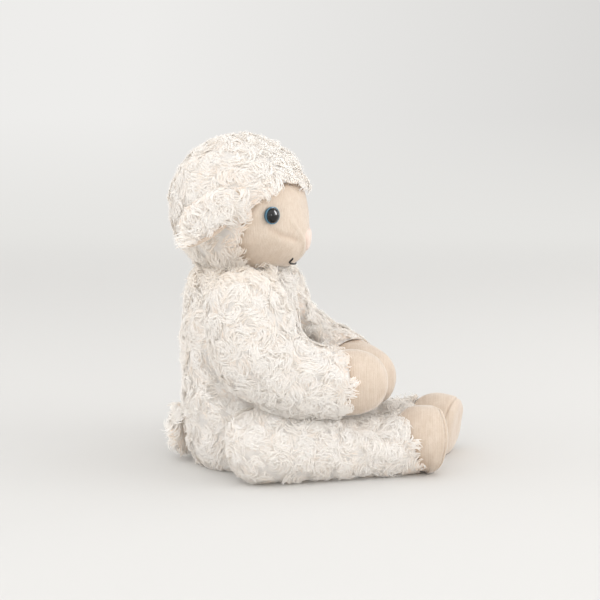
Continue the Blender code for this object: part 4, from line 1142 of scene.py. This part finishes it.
def velour_piece(name, surface, weave, body, node, look):
    """One velour object with its weave: across and along the ribs, and how much painted shade it
    gets.
    """
    points, quads, fans = skin_mesh(surface)
    made = put_mesh(name, points, [quads, fans])
    field = made.data.attributes.new("weave", 'FLOAT_VECTOR', 'POINT')
    field.data.foreach_set("vector", per_point(surface, weave).astype(np.float32).ravel())
    made.data.materials.append(look)
    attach(made, body)
    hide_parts(node)


def velour_look(name, tips, ground, painted_shade_colour):
    """Ribbed velour: a randomly mottled nap, painted light on the ribs and painted shade on the
    ground between them.
    """
    made = bpy.data.materials.new(name)
    made.use_nodes = True
    tree = made.node_tree
    shader = tree.nodes["Principled BSDF"]
    place = add_node(tree, "ShaderNodeTexCoord")
    field = add_node(tree, "ShaderNodeAttribute", {"attribute_name": "weave"})
    parts = add_node(tree, "ShaderNodeSeparateXYZ", links={"Vector": field.outputs["Vector"]})
    # Brushed nap: its fibres clump at random, which mottles the colour
    mottle = add_node(tree, "ShaderNodeTexNoise",
                      values={"Scale": 260.0, "Detail": 3.0, "Roughness": 0.6},
                      links={"Vector": place.outputs["Object"]})
    fuzz = add_node(tree, "ShaderNodeTexNoise",
                    values={"Scale": 1100.0, "Detail": 2.0, "Roughness": 0.7},
                    links={"Vector": place.outputs["Object"]})
    # Real ribs are about 0.8 mm apart. They are drawn at 1.0 mm, which the image can show
    wobble = add_node(tree, "ShaderNodeMath", {"operation": 'MULTIPLY_ADD'}, {1: 0.0007},
                      {0: mottle.outputs["Fac"], 2: parts.outputs["X"]})
    phase = add_node(tree, "ShaderNodeMath", {"operation": 'MULTIPLY'},
                     {1: math.tau / RIB_PITCH}, {0: wobble.outputs[0]})
    # Painted light on each rib and painted shade between the ribs
    rib = add_node(tree, "ShaderNodeMath", {"operation": 'SINE'}, links={0: phase.outputs[0]})
    rib = add_node(tree, "ShaderNodeMath", {"operation": 'MULTIPLY_ADD'}, {1: 0.14, 2: 0.14},
                   {0: rib.outputs[0]})
    # The nap parts in short streaks that follow the ribs
    squeezed = add_node(tree, "ShaderNodeVectorMath", {"operation": 'MULTIPLY'},
                        {1: (1.0, 0.28, 0.0)}, {0: field.outputs["Vector"]})
    streak = add_node(tree, "ShaderNodeTexNoise",
                      values={"Scale": 1050.0, "Detail": 3.0, "Roughness": 0.6},
                      links={"Vector": squeezed.outputs[0]})
    nap = add_node(tree, "ShaderNodeMath", {"operation": 'MULTIPLY_ADD'}, {1: 1.2},
                   {0: streak.outputs["Fac"], 2: rib.outputs[0]})
    pile = add_node(tree, "ShaderNodeMath", {"operation": 'MULTIPLY_ADD'}, {1: 0.8},
                    {0: fuzz.outputs["Fac"], 2: nap.outputs[0]})
    light = add_node(tree, "ShaderNodeMath", {"operation": 'MULTIPLY_ADD'}, {1: 0.9},
                     {0: mottle.outputs["Fac"], 2: pile.outputs[0]})
    tone = add_node(tree, "ShaderNodeMapRange", values={"From Min": 1.10, "From Max": 2.15},
                    links={"Value": light.outputs[0]})
    colour = add_node(tree, "ShaderNodeMix", {"data_type": 'RGBA'},
                      {6: linear(ground), 7: linear(tips)}, {0: tone.outputs[0]})
    # Painted shade in the creases, by the weave's third value
    painted_crease_shade = add_node(tree, "ShaderNodeMix", {"data_type": 'RGBA'}, {7: linear(painted_shade_colour)},
                       {0: parts.outputs["Z"], 6: colour.outputs[2]})
    relief = add_node(tree, "ShaderNodeBump", values={"Strength": 0.55, "Distance": 0.00035},
                      links={"Height": pile.outputs[0]})
    tree.links.new(painted_crease_shade.outputs[2], shader.inputs["Base Color"])
    tree.links.new(relief.outputs[0], shader.inputs["Normal"])
    shader.inputs["Roughness"].default_value = 0.85
    shader.inputs["Specular IOR Level"].default_value = 0.2
    shader.inputs["Sheen Weight"].default_value = 0.60
    shader.inputs["Sheen Roughness"].default_value = 0.35
    return made


velour = velour_look("rib_knit_velour", "#D9CABB", "#C5B19D", "#C0A68E")
# The face's copy is lighter: painted light, for a face that lies in more shade than the paws and
# feet
face_velour = velour_look("rib_knit_velour_painted_lighter_for_face", "#DED0C1", "#CEBBA8", "#C7AE98")

rings, sides = 96, 200
turn = (np.arange(sides) * math.tau / sides)[None, :]
# Past its seam the velour runs on under the hood for an allowance
reach = face_edge(turn) + FACE_ALLOWANCE / FACE_RADIUS
angle = np.linspace(0.0, 1.0, rings)[:, None] * reach
turn = np.broadcast_to(turn, angle.shape)
face = head_spots(around_face(turn, angle), FACE_RADIUS, JAW_HEIGHT)
normal = outward_normals(face)
from_seam = np.maximum(face_edge(turn) - angle, 0.0) * FACE_RADIUS
under = np.clip(angle - face_edge(turn), 0.0, None) * FACE_RADIUS
pucker = waves(np.stack((turn * 0.030, 0 * turn, from_seam * 0.25), axis=-1), 0.0065, 3)
rise = -FACE_SEAM_DEPTH * np.exp(-from_seam / 0.0016) - 0.9 * under
rise += 0.00035 * pucker * np.exp(-from_seam / 0.005)
brow = np.clip(np.sin(turn) - 0.3, 0.0, 1.0) * np.exp(-from_seam / 0.008)
rise += 0.0007 * brow * waves(np.stack((turn * 0.034, 0 * turn, from_seam * 0.2), axis=-1),
                              0.006, 5)
rise += 0.00025 * waves(face, 0.013, 7)
# Painted shade along the seam with the hood, and on the brow under the fringe
painted_crease_shade = 0.5 * np.exp(-from_seam / 0.0014) + 0.7 * brow
for side in (RIGHT, LEFT):
    eye_spot = head_point(EYE_TURN, EYE_DROP, side)
    gap = np.linalg.norm(face - eye_spot, axis=-1)
    rise -= EYE_DIMPLE * np.exp(-(gap / EYE_DIMPLE_REACH) ** 2)
    under_eye = [head_point(*spot, side) for spot in ((56, 17), (46, 22), (36, 24), (27, 26))]
    gap = off_line(face, under_eye)
    rise -= 0.0008 * np.exp(-(gap / 0.0019) ** 2)
    # Painted shade in the fold under the eye
    painted_crease_shade = painted_crease_shade + 0.35 * np.exp(-(gap / 0.0016) ** 2)
    ridge = [head_point(*spot, side) for spot in ((34, 12), (25, 19), (16, 27), (11, 36))]
    gap = off_line(face, ridge)
    rise += 0.0005 * np.exp(-(gap / 0.0015) ** 2)
face = face + normal * rise[..., None]
face[..., 2] = np.maximum(face[..., 2], NECK_PLANE + 0.0003)
# The ribs run from brow to chin, so they are counted round the head's upright line
turned = np.arctan2(face[..., 1], face[..., 0] - HEAD_CENTRE[0]) * FACE_RADIUS
weave = np.stack((turned, face[..., 2], np.clip(painted_crease_shade, 0.0, 1.0)), axis=-1)
inside = head_spots(around_face(turn[::8], angle[::8]), FACE_RADIUS - 0.0030, JAW_HEIGHT + 0.002)
face = np.concatenate((face, inside[::-1]))
weave = np.concatenate((weave, weave[::8][::-1]))
velour_piece("face_cover", face, weave, "head", "face_velour", face_velour)


# The ears' linings: the same velour, cut a little wider than the leaf, with its lower front
# edge rolled outwards over the fleece and stitched down.

for side in (RIGHT, LEFT):
    lining, turn, ends = ear_surface(side, 48, 72, 0.0, EAR_LINING_THICKNESS, True)
    low = np.exp(-(np.arctan2(np.sin(turn), np.cos(turn)) / 0.62) ** 2)[None, :]
    grown = (low * np.minimum(ends, 1.0)[:, None])[..., None]
    lower_way = np.array((math.sin(EAR_DROP_ANGLE), 0.0, -math.cos(EAR_DROP_ANGLE)))
    facing = np.sin(turn)[None, :, None] * np.array((0.0, 1.0, 0.0))
    upper = np.exp(-(np.arctan2(np.sin(turn), -np.cos(turn)) / 1.0) ** 2)[None, :, None]
    along = np.linspace(0.0, 1.0, 48)[:, None, None]
    rolled = np.clip((along - 0.30) / 0.12, 0.0, 1.0) * np.clip((1.0 - along) / 0.06, 0.0, 1.0)
    lining = lining + upper * lower_way * 0.0030
    lining = lining + grown * (lower_way * (0.0009 * rolled - 0.0030 * (1.0 - rolled))
                               + (facing * EAR_ROLL + np.array((0.0, side * 0.0022, 0.0)))
                               * rolled)
    around = turn[None, :] * 0.010 * np.ones((48, 1))
    weave = np.stack((around, np.linspace(0.0, EAR_LENGTH, 48)[:, None] * np.ones((1, 72)),
                      np.zeros((48, 72))), axis=-1)
    velour_piece(SIDE_NAMES[side] + "_ear_cover", lining, weave, SIDE_NAMES[side] + "_ear",
                 SIDE_NAMES[side] + "_ear_lining", velour)


# The nose: a small three-cornered patch of pale pink velour, sewn flat on the muzzle.

NOSE_DROP = math.radians(25)
NOSE_REACH = math.radians(14.5)
NOSE_HEIGHT_SHARE = 0.58
NOSE_CORNER_SHARE = 0.14
NOSE_THICKNESS = 0.0011
NOSE_RINGS = 30
NOSE_SIDES = 96

pink_velour = velour_look("pink_velour", "#EBDACE", "#E2CBBD", "#D6BAAB")
turn = (np.arange(NOSE_SIDES) * math.tau / NOSE_SIDES)[None, :]
reach = NOSE_REACH * (1.0 + NOSE_CORNER_SHARE * np.cos(3 * (turn + math.pi / 2)))
share = np.linspace(0.0, 1.0, NOSE_RINGS)[:, None]
pad = FACE_RADIUS - 0.0002 + (NOSE_THICKNESS + 0.0004) * (1.0 - share ** 5)
turn = np.broadcast_to(turn, (NOSE_RINGS, NOSE_SIDES))
ways = around_face(turn, share * reach, NOSE_DROP, NOSE_HEIGHT_SHARE)
nose = head_spots(ways, FACE_RADIUS, JAW_HEIGHT) + ways * (pad - FACE_RADIUS)[..., None]
back_pad = head_spots(ways[::5], FACE_RADIUS - 0.0008, JAW_HEIGHT)
# Painted shade round the patch's edge, where it is sewn down
edge = np.broadcast_to(0.6 * share ** 8, (NOSE_RINGS, NOSE_SIDES))
weave = np.stack((nose[..., 1], nose[..., 2], edge), axis=-1)
velour_piece("nose_patch", np.concatenate((nose, back_pad[::-1])),
             np.concatenate((weave, weave[::5][::-1])), "head", "nose_velour",
             pink_velour)


# The mouth: one smiling stitch of black six-strand embroidery thread, which goes into the
# velour at both ends.

MOUTH_DROP = math.radians(46.2)
MOUTH_CORNER_LIFT = math.radians(4.6)
MOUTH_HALF_SPAN = math.radians(22.3)
MOUTH_CORNER_CURL = 1.85
MOUTH_RINGS = 121
THREAD_RADIUS = 0.00055
THREAD_SIDES = 18

shares = np.linspace(-1.0, 1.0, MOUTH_RINGS)
drop = MOUTH_DROP - MOUTH_CORNER_LIFT * 1.3 * np.abs(shares) ** 3.5
turn = MOUTH_HALF_SPAN * np.sin(MOUTH_CORNER_CURL * shares)
ways = np.stack((np.cos(turn) * np.cos(drop), np.sin(turn) * np.cos(drop), -np.sin(drop)),
                axis=1)
sunk = 0.0016 * np.clip((np.abs(shares) - 0.93) / 0.07, 0.0, 1.0) ** 2
line = head_spots(ways, FACE_RADIUS + THREAD_RADIUS * 0.8, JAW_HEIGHT) - ways * sunk[:, None]
forward = np.gradient(line, axis=0)
forward = unit_length(forward)
side_way = np.cross(forward, ways)
side_way = unit_length(side_way)
lift_way = np.cross(side_way, forward)
spin = np.arange(THREAD_SIDES) * math.tau / THREAD_SIDES
# Three lobes that turn along the stitch: the plies of the thread
lobes = 1.0 + 0.13 * np.cos(3 * spin[None, :] - np.arange(MOUTH_RINGS)[:, None] * 0.55)
width = THREAD_RADIUS * lobes * np.minimum(1.0, 30 * (1.0 - np.abs(shares)))[:, None]
thread = (line[:, None] + side_way[:, None] * (width * np.cos(spin))[..., None]
          + lift_way[:, None] * (width * np.sin(spin))[..., None])
half = MOUTH_RINGS // 2
if np.sum(outward_normals(thread)[half, 0] * (thread[half, 0] - line[half])) < 0:
    thread = thread[:, ::-1]
points, quads, fans = skin_mesh(thread)
mouth = put_mesh("mouth_stitch", points, [quads, fans])
floss = bpy.data.materials.new("mercerised_black_floss")
floss.use_nodes = True
shader = floss.node_tree.nodes["Principled BSDF"]
shader.inputs["Base Color"].default_value = linear("#1E1B1A")
shader.inputs["Roughness"].default_value = 0.55
mouth.data.materials.append(floss)
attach(mouth, "head")
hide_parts("mouth_stitching")


# The eyes: moulded plastic domes, 10 mm wide, black with a blue-grey rim under a clear
# polished skin. A shank goes through the velour to a washer behind it.

EYE_RADIUS = 0.005
EYE_DOME_HEIGHT = 0.0034
EYE_RIM_WIDTH = 0.0006
EYE_TILT = 0.24
EYE_SHANK_RADIUS = 0.0015
EYE_SHANK_LENGTH = 0.0072

eye_plastic = bpy.data.materials.new("moulded_eye_plastic")
eye_plastic.use_nodes = True
tree = eye_plastic.node_tree
shader = tree.nodes["Principled BSDF"]
field = add_node(tree, "ShaderNodeAttribute", {"attribute_name": "radial"})
iris = add_node(tree, "ShaderNodeValToRGB", links={"Fac": field.outputs["Fac"]})
ramp = iris.color_ramp
ramp.elements[0].position = 0.0
ramp.elements[0].color = linear("#08090B")
ramp.elements[1].position = 1.0
ramp.elements[1].color = linear("#46697C")
for position, colour in ((0.80, "#0A0B0D"), (0.868, "#1B333F"), (0.90, "#416B82"),
                         (0.95, "#5F8CA4")):
    stop = ramp.elements.new(position)
    stop.color = linear(colour)
tree.links.new(iris.outputs["Color"], shader.inputs["Base Color"])
shader.inputs["Roughness"].default_value = 0.06
shader.inputs["Specular IOR Level"].default_value = 0.5

for side in (RIGHT, LEFT):
    step = 3.0
    middle = head_point(EYE_TURN, EYE_DROP, side)
    sideways = (head_point(EYE_TURN + step, EYE_DROP, side)
                - head_point(EYE_TURN - step, EYE_DROP, side))
    upward = (head_point(EYE_TURN, EYE_DROP - step, side)
              - head_point(EYE_TURN, EYE_DROP + step, side))
    outward = np.cross(sideways, upward) * side
    outward /= np.linalg.norm(outward)
    outward += np.array((EYE_TILT, 0.0, 0.0))
    outward /= np.linalg.norm(outward)
    quarter = np.linspace(0.0, 1.40, 22)
    bead = np.linspace(2.2, -0.2, 9)
    middle_radius = EYE_RADIUS - EYE_RIM_WIDTH / 2
    radius = np.concatenate((
        (EYE_RADIUS - EYE_RIM_WIDTH) * np.sin(quarter),
        middle_radius + EYE_RIM_WIDTH / 2 * np.cos(bead),
        (EYE_RADIUS, EYE_RADIUS * 0.97, EYE_SHANK_RADIUS, EYE_SHANK_RADIUS, 0.0)))
    rise = np.concatenate((
        EYE_DOME_HEIGHT * np.cos(quarter), 0.0003 + EYE_RIM_WIDTH * 0.7 * np.sin(bead),
        (-0.0006, -0.0011, -0.0012, -EYE_SHANK_LENGTH, -EYE_SHANK_LENGTH)))
    across = upward - (upward @ outward) * outward
    across /= np.linalg.norm(across)
    other = np.cross(outward, across)
    spin = np.arange(56) * math.tau / 56
    ring = across * np.cos(spin)[:, None] + other * np.sin(spin)[:, None]
    eye = (middle + outward * SEAM_GAP + radius[:, None, None] * ring[None]
           + rise[:, None, None] * outward)
    points, quads, fans = skin_mesh(eye)
    ball = put_mesh(SIDE_NAMES[side] + "_eye_dome", points, [quads, fans])
    field = ball.data.attributes.new("radial", 'FLOAT', 'POINT')
    shares = np.broadcast_to((radius / EYE_RADIUS)[:, None, None], eye.shape[:2] + (1,))
    field.data.foreach_set("value", per_point(eye, shares).astype(np.float32).ravel())
    ball.data.materials.append(eye_plastic)
    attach(ball, "head")
    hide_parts(SIDE_NAMES[side] + "_eye")


# The paws: velour caps sewn to the cuffs of the arms, stuffed with the sleeve. Each is closed
# by a seam round its outline and drawn in where it meets the cuff.

def limb_weave(spots, painted_crease_shade):
    """Ribs that run round a limb: they are counted along it."""
    middle = spots.mean(axis=1)
    steps = np.linalg.norm(np.diff(middle, axis=0), axis=1)
    along = np.concatenate(((0.0,), np.cumsum(steps)))[:, None] * np.ones(spots.shape[:2])
    return np.stack((spots[..., 0], along, painted_crease_shade), axis=-1)


CUFF_GROOVE = 0.0008
SLEEVE_DIP = 0.0024
CUFF_PUCKER = 0.00045
CUFF_PAINTED_SHADE = 0.55
UNDER_SLEEVE_SHARE = 0.055


def drawn_in(spots, past, seed):
    """How far velour rises off its form near the cuff, where it is drawn in and gathered.

    past is how far a ring lies past the cuff. Before it the velour dips under the sleeve.
    """
    pucker = waves(spots * np.array((0.35, 1.0, 1.0)), 0.0085, seed)
    return (-CUFF_GROOVE * np.exp(-np.maximum(past, 0.0) / 0.0022)
            - SLEEVE_DIP * np.clip(-past / 0.0010, 0.0, 1.0)
            + CUFF_PUCKER * pucker * np.exp(-np.maximum(past, 0.0) / 0.006))


for side in (RIGHT, LEFT):
    share = (1.0 - (1.0 - ARM_CUFF_SHARE + UNDER_SLEEVE_SHARE)
             * np.linspace(1.0, 0.0, 66) ** 1.4)
    paw = arm_surface(side, share, 120, 0.0)
    normal = outward_normals(paw)
    length = course_length(arm_rows(side))
    past = (share - ARM_CUFF_SHARE)[:, None] * length
    rise = drawn_in(paw, past, 71 + side) + 0.00022 * waves(paw, 0.014, 73 + side)
    paw = paw + normal * rise[..., None]
    # Painted shade where the velour is drawn in at the cuff
    painted_crease_shade = CUFF_PAINTED_SHADE * np.exp(-np.maximum(past, 0.0) / 0.0018) * np.ones(paw.shape[:2])
    weave = limb_weave(paw, painted_crease_shade)
    inner = arm_surface(side, share[::6], 120, 0.0030)
    velour_piece(SIDE_NAMES[side] + "_paw", np.concatenate((inner[::-1], paw)),
                 np.concatenate((weave[::6][::-1], weave)), SIDE_NAMES[side] + "_arm",
                 SIDE_NAMES[side] + "_hand_velour", velour)


# The feet: velour tubes sewn to the cuffs of the legs, and closed by a flat velour sole whose
# seam stands out as a rim.

FOOT_SEAM_SHARE = 0.5

for side in (RIGHT, LEFT):
    length = course_length(leg_rows(side))
    steps = np.linspace(1.0, 0.0, 90)
    share = 1.0 - (1.0 - LEG_CUFF_SHARE + UNDER_SLEEVE_SHARE) * steps ** 2
    seam_at = 1.0 - (1.0 - LEG_CUFF_SHARE) * FOOT_SEAM_SHARE ** 2
    whole = leg_surface(side, share, 120, 0.0)
    normal = outward_normals(whole)
    past = (share - LEG_CUFF_SHARE)[:, None] * length
    off_seam = (share - seam_at)[:, None] * length
    rise = drawn_in(whole, past, 81 + side)
    rise = rise + 0.0003 * np.exp(-((np.abs(off_seam) - 0.0012) / 0.0009) ** 2)
    rise = rise - 0.0005 * np.exp(-(off_seam / 0.0004) ** 2)
    rise = rise + 0.0002 * waves(whole, 0.014, 83 + side)
    whole = whole + normal * rise[..., None]
    whole[..., 2] = np.maximum(whole[..., 2], 0.0002)
    # Painted shade where the velour is drawn in at the cuff and in the sole's seam
    painted_crease_shade = (CUFF_PAINTED_SHADE * np.exp(-np.maximum(past, 0.0) / 0.0018)
               + 0.3 * np.exp(-(off_seam / 0.0004) ** 2)) * np.ones(whole.shape[:2])
    weave = limb_weave(whole, painted_crease_shade)
    split_ring = int(np.searchsorted(share, seam_at))
    inner = leg_surface(side, share, 120, 0.0024)
    foot = np.concatenate((inner[:split_ring:6][::-1], whole[:split_ring + 1],
                           inner[split_ring:split_ring + 1]))
    foot_weave = np.concatenate((weave[:split_ring:6][::-1], weave[:split_ring + 1],
                                 weave[split_ring:split_ring + 1]))
    middle = foot[-1:].mean(axis=1, keepdims=True) * np.ones((1, 120, 1))
    start = foot[:1].mean(axis=1, keepdims=True) * np.ones((1, 120, 1))
    foot = np.concatenate((start, foot, middle))
    foot_weave = np.concatenate((foot_weave[:1], foot_weave, foot_weave[-1:]))
    velour_piece(SIDE_NAMES[side] + "_foot", foot, foot_weave, SIDE_NAMES[side] + "_leg",
                 SIDE_NAMES[side] + "_foot_velour", velour)
    disc = whole[split_ring:]
    disc_weave = weave[split_ring:]
    behind = inner[split_ring:][::-1][::4]
    behind = np.concatenate((disc[-1:] - np.array((0.0024, 0.0, 0.0)), behind[1:]))
    disc = np.concatenate((behind, disc))
    disc_weave = np.concatenate((disc_weave[::-1][::4][:len(behind)], disc_weave))
    velour_piece(SIDE_NAMES[side] + "_sole", disc, disc_weave, SIDE_NAMES[side] + "_leg",
                 SIDE_NAMES[side] + "_sole_velour", velour)


# What the seams close in: loose polyester fibre, a cloth bag of pellets in the seat and the
# eyes' washers of natural nylon.

def inner_look(name, colour, roughness, scale, depth):
    """A plain material with a fine random relief."""
    made = bpy.data.materials.new(name)
    made.use_nodes = True
    tree = made.node_tree
    shader = tree.nodes["Principled BSDF"]
    place = add_node(tree, "ShaderNodeTexCoord")
    grain = add_node(tree, "ShaderNodeTexNoise", values={"Scale": scale, "Detail": 4.0},
                     links={"Vector": place.outputs["Object"]})
    relief = add_node(tree, "ShaderNodeBump", values={"Strength": 0.6, "Distance": depth},
                      links={"Height": grain.outputs["Fac"]})
    tree.links.new(relief.outputs[0], shader.inputs["Normal"])
    shader.inputs["Base Color"].default_value = linear(colour)
    shader.inputs["Roughness"].default_value = roughness
    return made


loose_fibre = inner_look("carded_polyester_fibre", "#F4F4F4", 0.95, 500.0, 0.0010)
bag_cloth = inner_look("woven_bag_cotton", "#E9E8E4", 0.90, 900.0, 0.0004)
nylon = inner_look("natural_nylon", "#E2E0DA", 0.45, 300.0, 0.0001)
inner_nodes = {loose_fibre: ("torso_stuffing", "head_stuffing", "right_arm_stuffing",
                             "left_arm_stuffing", "right_leg_stuffing", "left_leg_stuffing"),
               bag_cloth: ("seat_pellet_bag",),
               nylon: ("right_eye_washer", "left_eye_washer")}
for look, names in inner_nodes.items():
    for name in names:
        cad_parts[name].data.materials.clear()
        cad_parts[name].data.materials.append(look)
